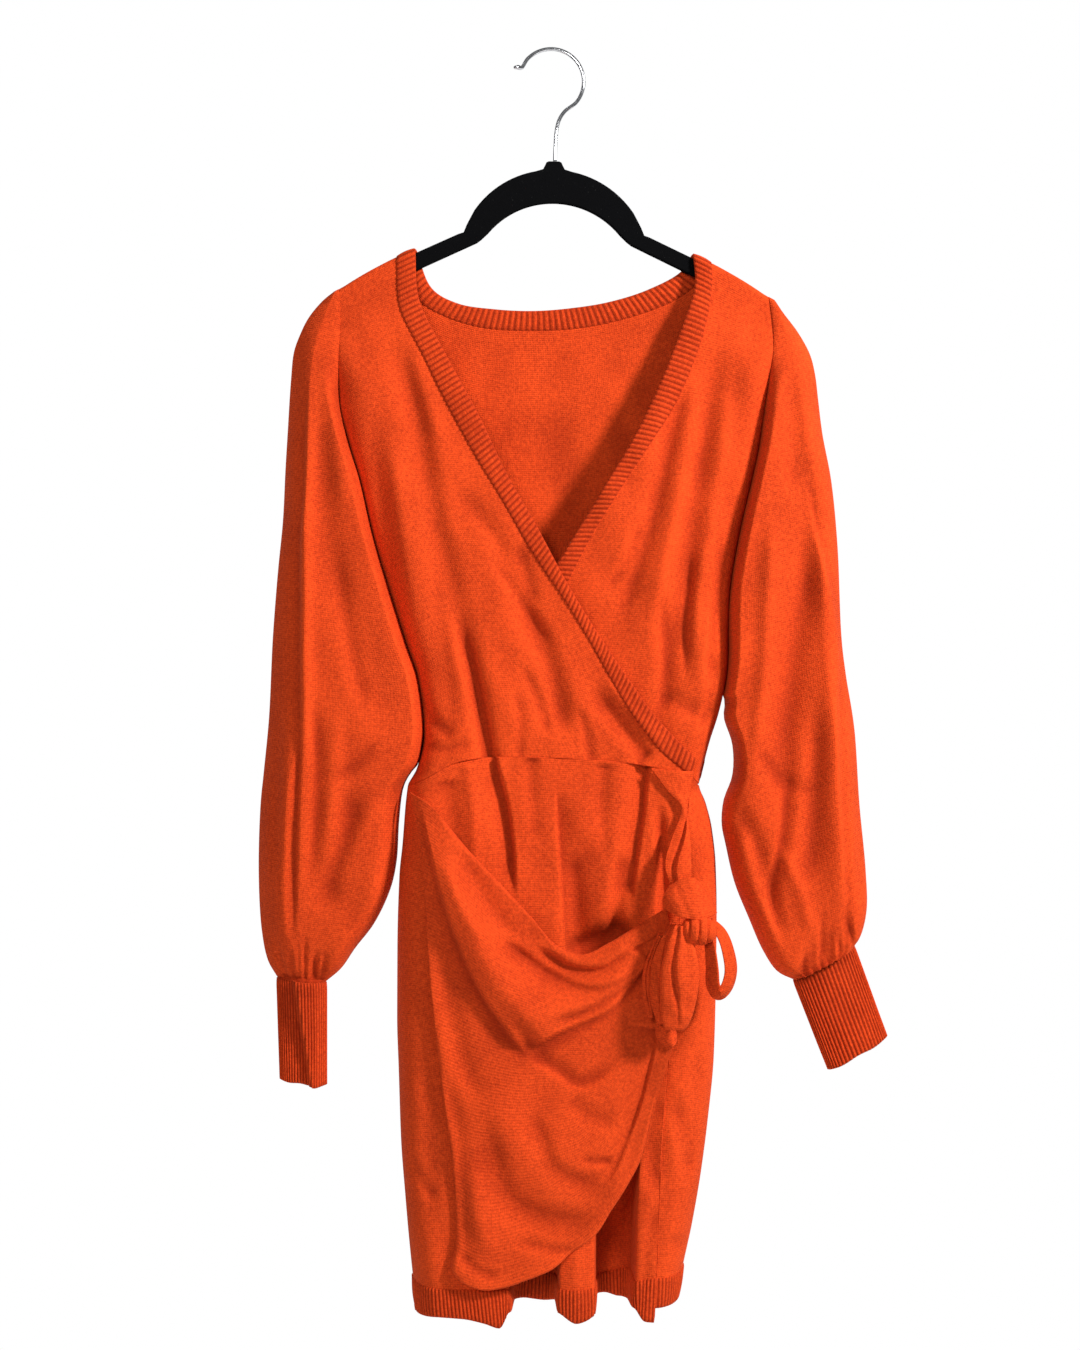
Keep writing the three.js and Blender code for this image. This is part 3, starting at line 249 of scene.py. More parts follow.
def inward(grid, closed=False):
    """Unit directions into the cloth, seen from outside with rows down and columns right."""
    across = np.gradient(grid, axis=1)
    if closed:
        across = np.roll(grid, -1, axis=1) - np.roll(grid, 1, axis=1)
    down = np.gradient(grid, axis=0)
    return unit(np.cross(across, down))


def shell_faces(rows, cols, closed):
    index = np.arange(rows * cols).reshape(rows, cols)
    right = np.roll(index, -1, axis=1) if closed else index[:, 1:]
    left = index if closed else index[:, :-1]
    outer = np.stack([left[:-1], left[1:], right[1:], right[:-1]], axis=-1).reshape(-1, 4)
    return index, outer, outer[:, ::-1] + rows * cols


def edge_loops(index, closed):
    """The grid's free edges, in the order that keeps the cloth on their left."""
    if closed:
        return [index[0][::-1], index[-1]]
    ring = [index[0, ::-1], index[1:, 0], index[-1, 1:], index[-2:0:-1, -1]]
    return [np.concatenate(ring)]


def mark_seams(mesh, loops):
    """Keeps the shading of a face apart from its rim, so that two pieces read as one cloth."""
    ring = np.vstack([np.stack([loop, np.roll(loop, -1)], axis=1) for loop in loops])
    wanted = {tuple(pair) for pair in np.sort(ring, axis=1).tolist()}
    sharp = mesh.attributes.new("sharp_edge", "BOOLEAN", "EDGE")
    sharp.data.foreach_set("value", [tuple(sorted(e.vertices)) in wanted for e in mesh.edges])


def paint_rib_gap_shade(mesh, relief):
    """Stores 1 deep between two ribs and 0 on a crest, for painted shade that darkens the colour
    between the ribs.
    """
    rib_gap_shade = np.full(len(mesh.vertices), 0.5)
    share = 1 - np.clip((relief - relief.min()) / np.ptp(relief), 0, 1).ravel()
    rib_gap_shade[:2 * share.size] = np.concatenate([share, share])
    mesh.attributes.new("rib_gap_shade", "FLOAT", "POINT").data.foreach_set("value", rib_gap_shade)


def blurred(grid, closed, times):
    """The grid's points, each drawn again and again to the middle of its neighbours."""
    mean = grid
    for _ in range(times):
        wide = np.pad(mean, ((1, 1), (0, 0), (0, 0)), "edge")
        mean = (wide[:-2] + 2 * mean + wide[2:]) / 4
        wide = np.pad(mean, ((0, 0), (1, 1), (0, 0)), "wrap" if closed else "edge")
        mean = (wide[:, :-2] + 2 * mean + wide[:, 2:]) / 4
    return mean


def paint_relief_shading(mesh, grid, direction, closed):
    """Stores how far each point lies sunk in the cloth, for painted shade that darkens creases and
    a painted highlight that lightens ridges.
    """
    broad = ((grid - blurred(grid, closed, BROAD_STEPS)) * direction).sum(-1)
    narrow = ((grid - blurred(grid, closed, NARROW_STEPS)) * direction).sum(-1)
    sunk = np.clip(broad / BROAD_DEPTH + narrow / NARROW_DEPTH, -1, 1).ravel()
    relief_shading = np.zeros(len(mesh.vertices))
    relief_shading[:2 * sunk.size] = np.concatenate([sunk, -sunk])
    mesh.attributes.new("relief_shading", "FLOAT", "POINT").data.foreach_set("value", relief_shading)


def cloth_mesh(name, outer, inner, closed):
    rows, cols = outer.shape[:2]
    index, faces_out, faces_in = shell_faces(rows, cols, closed)
    flat_out, flat_in = outer.reshape(-1, 3), inner.reshape(-1, 3)
    step = np.zeros_like(outer)
    step[0] += unit(outer[0] - outer[1])
    step[-1] += unit(outer[-1] - outer[-2])
    if not closed:
        step[:, 0] += unit(outer[:, 0] - outer[:, 1])
        step[:, -1] += unit(outer[:, -1] - outer[:, -2])
    step = unit(step).reshape(-1, 3)
    points, faces = [flat_out, flat_in], [faces_out, faces_in]
    total = 2 * rows * cols
    uv_u = np.concatenate([[0], np.cumsum(np.linalg.norm(np.diff(outer, axis=1), axis=2).mean(0))])
    uv_v = np.concatenate([[0], np.cumsum(np.linalg.norm(np.diff(outer, axis=0), axis=2).mean(1))])
    uv = np.stack(np.broadcast_arrays(uv_u[None, :], -uv_v[:, None]), axis=-1).reshape(-1, 2)
    uvs = [uv, uv]
    thickness = np.linalg.norm(flat_out - flat_in, axis=1).mean()
    for loop in edge_loops(index, closed):
        middle = (flat_out[loop] + flat_in[loop]) / 2 + step[loop] * thickness * RIM_OUT
        rim = total + np.arange(len(loop))
        total += len(loop)
        points.append(middle)
        uvs.append(uv[loop])
        turned = np.roll(loop, -1), np.roll(rim, -1)
        faces.append(np.stack([loop, turned[0], turned[1], rim], axis=-1)[:, ::-1])
        back = loop + rows * cols
        faces.append(np.stack([rim, turned[1], np.roll(back, -1), back], axis=-1)[:, ::-1])
    mesh = bpy.data.meshes.new(name)
    points = np.vstack(points) * MM
    faces = np.vstack(faces)
    mesh.from_pydata(points.tolist(), [], faces.tolist())
    layer = mesh.uv_layers.new(name="grain")
    layer.data.foreach_set("uv", (np.vstack(uvs)[faces.ravel()] * MM).ravel())
    mesh.shade_smooth()
    return mesh


def add_piece(name, mesh, node, material):
    """Puts a finished mesh in the frame, in place of its solid."""
    piece = bpy.data.objects.new(name, mesh)
    bpy.context.scene.collection.objects.link(piece)
    piece.data.materials.append(material)
    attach(piece, "root")
    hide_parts(node)
    return piece


def add_cloth(name, grid, node, material=None, closed=False,
              relief=None, seamed=False, rib_shade_pattern=None, two_faced=0.0):
    """A shell behind a grid of outer points; relief raises them, and the inside by a share."""
    direction = inward(grid, closed)
    inner = grid + direction * CLOTH
    if two_faced:
        inner = inner + direction * relief[..., None] * two_faced
    outer = grid if relief is None else grid - direction * relief[..., None]
    mesh = cloth_mesh(name, outer, inner, closed)
    if seamed:
        mark_seams(mesh, edge_loops(np.arange(grid.size // 3).reshape(grid.shape[:2]), closed))
    # Painted shade between the ribs is stored on the points for the colour.
    if rib_shade_pattern is not None:
        paint_rib_gap_shade(mesh, rib_shade_pattern)
    # Painted shade in creases and a painted highlight on ridges are stored on the points.
    paint_relief_shading(mesh, grid, direction, closed)
    add_piece(name, mesh, node, material or JERSEY)
    print(name, "faces:", len(mesh.polygons))


print("cloth is", CLOTH, "mm thick")

# %% [markdown]
# Shader maths is easier to read as an expression than as a nest of nodes. This small class
# wraps a socket, so that 1 - mask or wave * 0.2 adds the Math nodes by itself. Everything else
# goes through one method that makes a node from its type, settings and inputs.

# %% A socket that can be calculated with
class Wire:
    def __init__(self, tree, socket):
        self.tree = tree
        self.socket = socket

    def node(self, kind, settings, inputs, output=0):
        """A new node: its settings, then its sockets; output is a name or a number."""
        made = self.tree.nodes.new(kind)
        for name, value in settings.items():
            setattr(made, name, value)
        for name, value in inputs.items():
            if isinstance(value, Wire):
                self.tree.links.new(value.socket, made.inputs[name])
            else:
                made.inputs[name].default_value = value
        return Wire(self.tree, made.outputs[output])

    def math(self, operation, a, b=0.0):
        return self.node("ShaderNodeMath", {"operation": operation}, {0: a, 1: b})

    def __add__(self, other):
        return self.math("ADD", self, other)

    def __sub__(self, other):
        return self.math("SUBTRACT", self, other)

    def __rsub__(self, other):
        return self.math("SUBTRACT", other, self)

    def __mul__(self, other):
        return self.math("MULTIPLY", self, other)

    __radd__, __rmul__ = __add__, __mul__

    def sine(self):
        return self.math("SINE", self)

    def power(self, other):
        return self.math("POWER", self, other)

    def noise(self, scale, detail=2.0, roughness=0.5):
        sizes = {"Vector": self, "Scale": scale, "Detail": detail, "Roughness": roughness}
        return self.node("ShaderNodeTexNoise", {}, sizes, "Fac")

    def blend(self, low, high):
        """From one colour to another by this value."""
        made = {"data_type": "RGBA", "clamp_factor": True}
        colour_in = [v if isinstance(v, Wire) else (*v, 1) for v in (low, high)]
        return self.node("ShaderNodeMix", made, {0: self, 6: colour_in[0], 7: colour_in[1]}, 2)


def start_material(name):
    """A new material: its wire to build from and its Principled shader."""
    material = bpy.data.materials.new(name)
    material.use_nodes = True
    shader = material.node_tree.nodes["Principled BSDF"]
    return material, Wire(material.node_tree, None), shader


def plug(material, value, socket):
    material.node_tree.links.new(value.socket, socket)


print("shader helper ready")

# %% [markdown]
# The dress is a fine-gauge jersey in rust orange: close courses run across it, the yarn is
# slightly fuzzy, and the dye is a touch uneven. The courses are drawn along the shell's own
# grain, as a bump and a faint tone, with a fine noise for the nap and a slow one for the dye.
# Painted shade makes the red darker in the cloth's hollows and between its ribs, a painted
# highlight makes it paler on the ridges, and a slight sheen makes the nap glow where the cloth
# turns away.

# %% Knit materials
RUST_DARK = (0.41, 0.030, 0.0048)
RUST_LIGHT = (0.77, 0.070, 0.0105)
# Painted shade: the darker red between the ribs.
RIB_GAP_SHADE = (0.17, 0.009, 0.0015)
# Painted shade: the darker red in the cloth's creases.
CREASE_SHADE = (0.24, 0.013, 0.002)
COURSE_PITCH = 1.9
WALE_PITCH = 1.7


def knit_material(name, course_depth, wale_depth, rib_gap_shaded=False):
    material, wire, shader = start_material(name)
    grain = wire.node("ShaderNodeUVMap", {"uv_map": "grain"}, {}, "UV")
    across = wire.node("ShaderNodeSeparateXYZ", {}, {"Vector": grain}, "X")
    down = Wire(wire.tree, across.socket.node.outputs["Y"])
    place = wire.node("ShaderNodeTexCoord", {}, {}, "Object")
    fuzz = place.noise(900, 3, 0.7)
    nap = place.noise(380, 2, 0.6)
    dye = place.noise(14, 3, 0.55)
    wander = (nap - 0.5) * 2.2
    course = (down * (2 * math.pi / (COURSE_PITCH * MM)) + wander).sine() * 0.5 + 0.5
    wale = (across * (2 * math.pi / (WALE_PITCH * MM)) + wander).sine() * 0.5 + 0.5
    stitch = course * course_depth + wale * wale_depth
    # Painted shade and highlight: the stored crease depth darkens creases and lightens ridges.
    relief_shading = wire.node("ShaderNodeAttribute", {"attribute_name": "relief_shading"}, {}, "Fac")
    tone = stitch * 0.4 + fuzz * 1.6 + nap * 1.5 + dye * 0.7 - 1.6 - relief_shading * 0.25
    colour = (relief_shading * 0.45).blend(tone.blend(RUST_DARK, RUST_LIGHT), CREASE_SHADE)
    if rib_gap_shaded:
        # Painted shade: the colour is darkened between the ribs.
        rib_gap_shade = wire.node("ShaderNodeAttribute", {"attribute_name": "rib_gap_shade"}, {}, "Fac")
        colour = (rib_gap_shade.power(2.2) * 0.85).blend(colour, RIB_GAP_SHADE)
    plug(material, colour, shader.inputs["Base Color"])
    plug(material, fuzz * 0.15 + 0.8, shader.inputs["Roughness"])
    height = stitch * 0.5 + fuzz * 0.9 + nap * 0.7
    bump = wire.node("ShaderNodeBump", {}, {"Strength": 0.7, "Distance": 0.0006, "Height": height},
                     "Normal")
    plug(material, bump, shader.inputs["Normal"])
    shader.inputs["Sheen Weight"].default_value = 0.12
    shader.inputs["Sheen Roughness"].default_value = 0.5
    shader.inputs["Sheen Tint"].default_value = (1.0, 0.22, 0.06, 1)
    shader.inputs["Specular IOR Level"].default_value = 0.08
    return material


JERSEY = knit_material("rust_jersey", 0.7, 0.3)
RIB = knit_material("rust_rib_knit", 0.25, 0.3, rib_gap_shaded=True)
print("materials:", JERSEY.name, RIB.name)

# %% [markdown]
# The hanger is a flat plastic bar under black flock, which holds pale lint, and its hook is
# polished wire. Flock swallows light: a dense speckle bump, almost no gloss and a few paler
# specks where lint has caught. The wire is a plain metal with faint drawing marks.

# %% Hanger materials
def flock_material():
    material, wire, shader = start_material("black_flock")
    place = wire.node("ShaderNodeTexCoord", {}, {}, "Object")
    pile = place.noise(1800, 2, 0.7)
    specks = place.noise(420, 4, 0.75)
    lint = wire.node("ShaderNodeMapRange", {},
                     {"Value": specks, "From Min": 0.66, "From Max": 0.72}, "Result")
    base = pile.blend((0.0012, 0.0012, 0.0014), (0.0045, 0.0045, 0.005))
    plug(material, lint.blend(base, (0.05, 0.049, 0.047)), shader.inputs["Base Color"])
    bump = wire.node("ShaderNodeBump", {}, {"Strength": 0.6, "Distance": 0.0004, "Height": pile},
                     "Normal")
    plug(material, bump, shader.inputs["Normal"])
    shader.inputs["Roughness"].default_value = 0.95
    shader.inputs["Specular IOR Level"].default_value = 0.03
    return material


def wire_material():
    material, wire, shader = start_material("polished_wire")
    place = wire.node("ShaderNodeTexCoord", {}, {}, "Object")
    marks = place.noise(300, 3, 0.6)
    plug(material, marks.blend((0.62, 0.63, 0.65), (0.8, 0.81, 0.83)), shader.inputs["Base Color"])
    plug(material, marks * 0.12 + 0.1, shader.inputs["Roughness"])
    shader.inputs["Metallic"].default_value = 1.0
    return material


FLOCK = flock_material()
WIRE = wire_material()
print("materials:", FLOCK.name, WIRE.name)

# %% [markdown]
# The hanger's outline is an arch between two sloping arms. A filled curve with a bevel could
# make it. Here the outline is stacked in layers that draw in toward both faces, which gives the
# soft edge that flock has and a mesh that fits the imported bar.

# %% Hanger
ARM_TOP_AT_NECK = -181.7
ARM_SLOPE = 0.465
ARM_DEPTH = 15.8
HANGER_TILT = 0.019
HANGER_HALF_LENGTH = 191
HANGER_THICKNESS = 5.0
ARM_FROM = 125
TIP_DROP, TIP_FROM, TIP_LENGTH = 5.5, 158, 32
ARCH_OUTER = (85, -104.7)
ARCH_INNER = (75, -134.4)


def arm_top(x):
    """The arms' top edge, which curves down a little toward the ends."""
    out = np.abs(x)
    bend = TIP_DROP * ease((out - TIP_FROM) / TIP_LENGTH)
    return ARM_TOP_AT_NECK - ARM_SLOPE * (out - ARM_FROM) - bend


def hanger_half():
    """The outline from the nub round one arm and back to the arch's middle."""
    def arc(radius, top, x):
        return [(v, top - radius + math.sqrt(radius * radius - v * v)) for v in x]

    half_arm = ARM_DEPTH / 2
    slope = math.atan(ARM_SLOPE)
    tip_radius = half_arm * math.cos(slope)
    tip_x = HANGER_HALF_LENGTH - tip_radius
    points = [(0, -97.3), (4.6, -97.3), (6.6, -98.2), (7.6, -100.5), (9.5, -104.2)]
    points += arc(*ARCH_OUTER, np.linspace(16, 70, 14))
    points += [(74.5, -150), (76.8, -154.5), (79.5, arm_top(79.5) - 0.6)]
    points += [(x, arm_top(x)) for x in (84, 120, 150, 158, 164, 170, 176, 181)]
    for angle in np.linspace(math.pi / 2 - slope, -math.pi / 2 - slope, 12):
        points.append((tip_x + tip_radius * math.cos(angle),
                       arm_top(tip_x) - half_arm + tip_radius * math.sin(angle)))
    points += [(x, arm_top(x) - ARM_DEPTH) for x in (176, 170, 164, 158, 150, 120)]
    points += [(68, arm_top(68) - ARM_DEPTH + 0.4), (64, arm_top(66) - ARM_DEPTH + 2.5)]
    points += arc(*ARCH_INNER, np.linspace(58, 0, 16))
    return points


def hanger_mesh():
    half = hanger_half()
    outline = half + [(-x, z) for x, z in reversed(half[1:-1])]
    p = np.array(outline)
    p[:, 1] -= HANGER_TILT * p[:, 0]
    tangent = unit(np.roll(p, -1, axis=0) - np.roll(p, 1, axis=0))
    normal = np.stack([-tangent[:, 1], tangent[:, 0]], axis=1)
    bevel, rings = 1.9, 6
    layers = []
    for angle in np.linspace(math.pi / 2, -math.pi / 2, 2 * rings):
        inset = bevel * (1 - math.cos(angle))
        y = -(HANGER_THICKNESS / 2 - bevel) * np.sign(angle) - bevel * math.sin(angle)
        q = p - normal * inset
        layers.append(np.stack([q[:, 0], np.full(len(q), y), q[:, 1]], axis=1))
    count = len(p)
    rows = len(layers)
    index = np.arange(rows * count).reshape(rows, count)
    turned = np.roll(index, -1, axis=1)
    faces = np.stack([index[:-1], turned[:-1], turned[1:], index[1:]], axis=-1).reshape(-1, 4)
    mesh = bpy.data.meshes.new("flocked_hanger")
    caps = [index[0][::-1].tolist(), index[-1].tolist()]
    mesh.from_pydata((np.vstack(layers) * MM).tolist(), [], faces.tolist() + caps)
    mesh.shade_smooth()
    mesh.polygons[len(faces)].use_smooth = False
    mesh.polygons[len(faces) + 1].use_smooth = False
    return mesh


hanger = add_piece("flocked_hanger", hanger_mesh(), "hanger", FLOCK)
print("hanger faces:", len(hanger.data.polygons))

# %% [markdown]
# The hook is one length of wire: a small bead at its end, a round that rests on the rod, and a
# stem into the hanger's nub. A curve with a round bevel could make it. A ring of points carried
# along the path does the same and has its own radius in each row, so that the bead can swell.

# %% Hook
HOOK_CENTRE = (-2.6, -27.0)
HOOK_RADIUS = 28.75
WIRE_RADIUS = 1.75


def hook_path():
    points = [(-35.5, -14.6), (-31.5, -14.3)]
    for degrees in np.arange(155, -41, -19.5):
        angle = math.radians(degrees)
        points.append((HOOK_CENTRE[0] + HOOK_RADIUS * math.cos(angle),
                       HOOK_CENTRE[1] + HOOK_RADIUS * math.sin(angle)))
    points += [(9.5, -53.2), (4.6, -60.7), (2.2, -70), (1.2, -84), (0.8, -97.0)]
    return [(x, 0, z) for x, z in points]


def tube_mesh(name, path, radii, sides=20):
    """A closed round tube along a path, with its ends drawn in."""
    line = np.asarray(path, float)
    tangent = unit(np.gradient(line, axis=0))
    up = np.array([0, 1.0, 0])
    side = unit(np.cross(tangent, up))
    lift = np.cross(side, tangent)
    angle = np.linspace(0, 2 * np.pi, sides, endpoint=False)
    ring = (side[:, None, :] * np.cos(angle)[None, :, None]
            + lift[:, None, :] * np.sin(angle)[None, :, None])
    points = (line[:, None, :] + ring * np.asarray(radii, float)[:, None, None]).reshape(-1, 3)
    index = np.arange(len(line) * sides).reshape(len(line), sides)
    turned = np.roll(index, -1, axis=1)
    faces = np.stack([index[:-1], index[1:], turned[1:], turned[:-1]], axis=-1).reshape(-1, 4)
    mesh = bpy.data.meshes.new(name)
    caps = [index[0].tolist(), index[-1][::-1].tolist()]
    mesh.from_pydata((points * MM).tolist(), [], faces.tolist() + caps)
    mesh.shade_smooth()
    return mesh


HOOK_ROWS = 150
hook_line = Line(spline(hook_path(), 10)).at(np.linspace(0, 1, HOOK_ROWS))
hook_radii = np.full(HOOK_ROWS, WIRE_RADIUS)
hook_radii[:2] = [1.0, 1.5]
hook_radii[2:7] += 0.35 * np.sin(np.linspace(0, math.pi, 5))
hook = add_piece("wire_hook", tube_mesh("wire_hook", hook_line, hook_radii), "hook",
                 WIRE)
print("hook faces:", len(hook.data.polygons))

# %% [markdown]
# The body hangs from the hanger's arms. Its two sides and how far its cloth stands off in front
# and behind are tables by height. Between the sides the surface is nearly flat, as on a hanging
# dress, with a round over the shoulder and a deep fold where the body passes into the sleeves.

# %% Body tables
RIGHT_SIDE = table("z x front back reach", [
    (-207, -188, 0, 0, 8), (-228, -187.5, -7, 5, 8), (-251, -187.2, -10, 8, 10),
    (-280, -188.5, -5, 9, 22), (-307, -188.6, -1, 9, 32), (-341, -181.6, 1, 9, 38),
    (-378, -170.4, 1, 9, 40), (-426, -159.2, 1, 9, 40), (-470, -146.2, 1, 9, 38),
    (-522, -129.8, 1, 9, 34), (-553, -119.5, 1, 9, 30), (-601, -114.5, 1, 8, 24),
    (-631, -120.5, 0.5, 5, 20), (-646, -128.5, -0.15, 0.15, 22),
    (-700, -133.5, -0.15, 0.15, 26), (-725, -136, -0.15, 0.15, 28),
    (-787, -137.8, -0.15, 0.15, 30), (-848, -138, -0.15, 0.15, 30),
    (-895, -136.5, -0.15, 0.15, 30), (-955, -134.5, -0.15, 0.15, 30),
    (-1005, -130.7, -0.15, 0.15, 30), (-1052, -126.5, -0.15, 0.15, 30),
    (-1088, -122.5, -0.15, 0.15, 28), (-1115, -118.5, -0.15, 0.15, 26),
])
LEFT_SIDE = table("z x front back reach", [
    (-212, 188, 0, 0, 8), (-235, 190.5, -7, 5, 8), (-261, 191.6, -10, 8, 10),
    (-290, 188.5, -5, 9, 20), (-320, 184.5, -1, 9, 28), (-349, 180.4, 1, 9, 34),
    (-378, 174, 1, 9, 36), (-426, 163, 1, 9, 36), (-482, 154.2, 1, 9, 32),
    (-540, 152.7, 1, 8, 22), (-565, 149, 0.5, 4, 20), (-580, 145.5, -0.15, 0.15, 20),
    (-609, 136.5, -0.15, 0.15, 22), (-645, 127.5, -0.15, 0.15, 24),
    (-661, 133.2, -0.15, 0.15, 26), (-683, 138.6, -0.15, 0.15, 26),
    (-716, 142.1, -0.15, 0.15, 28), (-754, 143, -0.15, 0.15, 30),
    (-828, 142.1, -0.15, 0.15, 30), (-884, 140.4, -0.15, 0.15, 30),
    (-939, 135.1, -0.15, 0.15, 30), (-985, 129, -0.15, 0.15, 28),
    (-1030, 121.1, -0.15, 0.15, 26), (-1066, 113.2, -0.15, 0.15, 24),
    (-1115, 104.5, -0.15, 0.15, 22),
])
STAND_OFF = table("z front back", [
    (-180, 0, 0), (-200, 0.6, 1), (-250, 6, 7), (-300, 11, 10), (-340, 15, 12), (-380, 18, 13.5),
    (-440, 22, 14.5), (-500, 24, 15.5), (-560, 25, 16.5), (-640, 25, 17), (-700, 28, 18),
    (-790, 30, 18), (-880, 32, 17), (-960, 34, 16), (-1030, 36, 15), (-1075, 37, 15),
    (-1115, 37, 15),
])
SHOULDER_RADIUS = 5.7
SHOULDER_LIFT = 3.8
SHOULDER_END = 188
HALF_GAP = 0.15
FADE = 60
FOLD_TOP = -244
NECK_HALF = 122.5
BAND = 16
right_x = column(RIGHT_SIDE, "x")
left_x = column(LEFT_SIDE, "x")
print("width at the hips:", round(float(left_x(-800) - right_x(-800)), 1), "mm")


# %% Body surface
def shoulder_height(x):
    return arm_top(x) + SHOULDER_LIFT - HANGER_TILT * x


def on_shoulder(x):
    return (x, float(shoulder_height(x)))


def body_surface(face):
    toward = -1 if face == "front" else 1
    stand_off = column(STAND_OFF, face)
    sides = [(column(side, face), column(side, "reach")) for side in (RIGHT_SIDE, LEFT_SIDE)]

    def depth(x, z):
        below = shoulder_height(x) - z
        y = toward * (HALF_GAP + SHOULDER_RADIUS * round_off(below, SHOULDER_RADIUS)
                      + stand_off(z) * ease(below / FADE))
        for (end, reach), inset in zip(sides, (x - right_x(z), left_x(z) - x)):
            edge = mix(y, end(z), ease((FOLD_TOP - z) / FADE))
            y = mix(edge, y, round_off(inset, reach(z)))
        return y

    return depth


body_front = body_surface("front")
body_back = body_surface("back")
print("front stands", round(-float(body_front(0.0, -560.0)), 1), "mm off the hanger's plane")

# %% [markdown]
# A panel is a sheet between four edge curves. Blending the edges inward, as a Coons patch does,
# fills it with points that follow all four, and a depth function then lifts them off the plane.

# %% Sheets between four edges
def sheet_grid(left, right, depth, across, down, top=None, bottom=None):
    """Points between four lines in the front view; depth takes x, z and the edge distances."""
    left, right = Line(left), Line(right)
    ends = [np.array([left.at(s), right.at(s)]) for s in (0, 1)]
    top = Line(ends[0] if top is None else top)
    bottom = Line(ends[1] if bottom is None else bottom)
    u, v = across[None, :, None], down[:, None, None]
    a, b = left.at(down)[:, None, :], right.at(down)[:, None, :]
    flat = mix(top.at(across)[None], bottom.at(across)[None], v) + mix(a, b, u)
    flat = flat - mix(mix(ends[0][0], ends[0][1], u), mix(ends[1][0], ends[1][1], u), v)
    width = np.linalg.norm(b - a, axis=-1)
    height = np.linalg.norm(top.at(across) - bottom.at(across), axis=-1)[None, :]
    near = {"left": u[..., 0] * width, "right": (1 - u[..., 0]) * width,
            "top": v[..., 0] * height, "bottom": (1 - v[..., 0]) * height,
            "u": u[..., 0], "v": v[..., 0]}
    x, z = flat[..., 0], flat[..., 1]
    return np.stack([x, np.broadcast_to(depth(x, z, near), x.shape), z], axis=-1)


def from_shoulder(count, length, over=(0, 0.3, 0.8, 1.6, 2.7, 4.2, 6, 9, 13, 18)):
    """Shares down a length, close together where the cloth rolls over the shoulder."""
    start = np.array(over) / length
    return np.concatenate([start, mix(start[-1], 1, np.arange(1, count + 1) / count)])


def side_edge(side, to):
    """Points down one side of the body, from the shoulder to a height."""
    x = column(side, "x")
    first, last = side["z"][1], to
    between = [(a, b) for a, b in zip(side["x"], side["z"]) if last + 4 < b < first - 4]
    start = on_shoulder(side["x"][0])
    return [start, (float(x(first)), first), *between, (float(x(last)), last)]


print("shoulder rows:", len(from_shoulder(0, 450)))

# %% [markdown]
# The seam and edge lines of the neck and the waist, in the front view. The outer wrap runs from
# the wearer's right shoulder to the left waist, and the under wrap mirrors it behind.

# %% Neck and waist lines
RIGHT_SEAM = [
    on_shoulder(-NECK_HALF - BAND), (-135.7, -226.1), (-116.2, -267.2), (-94.1, -312.3),
    (-67, -361.6), (-45.2, -397.4), (-18.4, -444.4), (8.2, -483.7), (30.4, -519.8),
    (50, -554.3), (70.5, -588.4), (91.1, -613.9), (117.5, -636),
]
RIGHT_NECK = [
    on_shoulder(-NECK_HALF), (-119.1, -219.6), (-96.3, -267.2), (-67.1, -321.6),
    (-40.4, -377.3), (-18.4, -415.4), (8.5, -466.1), (36.8, -512.8), (64.6, -554.3),
    (89.2, -588), (122, -622.5),
]
LEFT_SEAM = [
    on_shoulder(NECK_HALF + BAND), (138.5, -211.6), (128.7, -257.4), (106.4, -311.6),
    (83.9, -347.8), (54.7, -392.6), (30.2, -432.8), (8, -476), (-20, -528), (-52, -580),
    (-84, -624.5),
]
LEFT_NECK = [
    on_shoulder(NECK_HALF), (124, -207.1), (113.6, -241.3), (93.1, -293.9), (70.5, -341.1),
    (43.8, -385.9), (19.3, -426.1), (-7, -469), (-35, -521), (-67, -573), (-99, -631),
]
BACK_SEAM = [
    on_shoulder(NECK_HALF + BAND), (124.2, -206.3), (105.6, -218.6), (71.9, -231.3),
    (26.7, -241.5), (-18.5, -244.2), (-63.7, -241.5), (-97.6, -231.3), (-119.8, -217.6),
    on_shoulder(-NECK_HALF - BAND),
]
BACK_NECK = [
    on_shoulder(NECK_HALF), (112.7, -194), (83.4, -209.6), (49.4, -220.1), (15.2, -225.6),
    (-18.5, -228), (-52.4, -226.5), (-86.3, -221.1), (-108.9, -208), on_shoulder(-NECK_HALF),
]
WAIST = [
    (-128.5, -646), (-115, -640.4), (-97, -630.5), (-84, -624.5), (-60, -620.5),
    (-17.5, -620), (36.8, -622.5), (79.8, -627.3), (117.5, -636), (127.5, -645),
]
UNDER_ENDS, OUTER_ENDS = 3, 8
print("neck edge:", round(Line(spline(RIGHT_NECK)).length), "mm on the outer front")

# %% [markdown]
# The folds of the bodice. The long troughs start at the shoulders, where the cloth hangs from
# the arms, and run to the waist. Short ones fan out of the crossing and of the waist seam, where
# the fuller bodice is eased into the skirt.

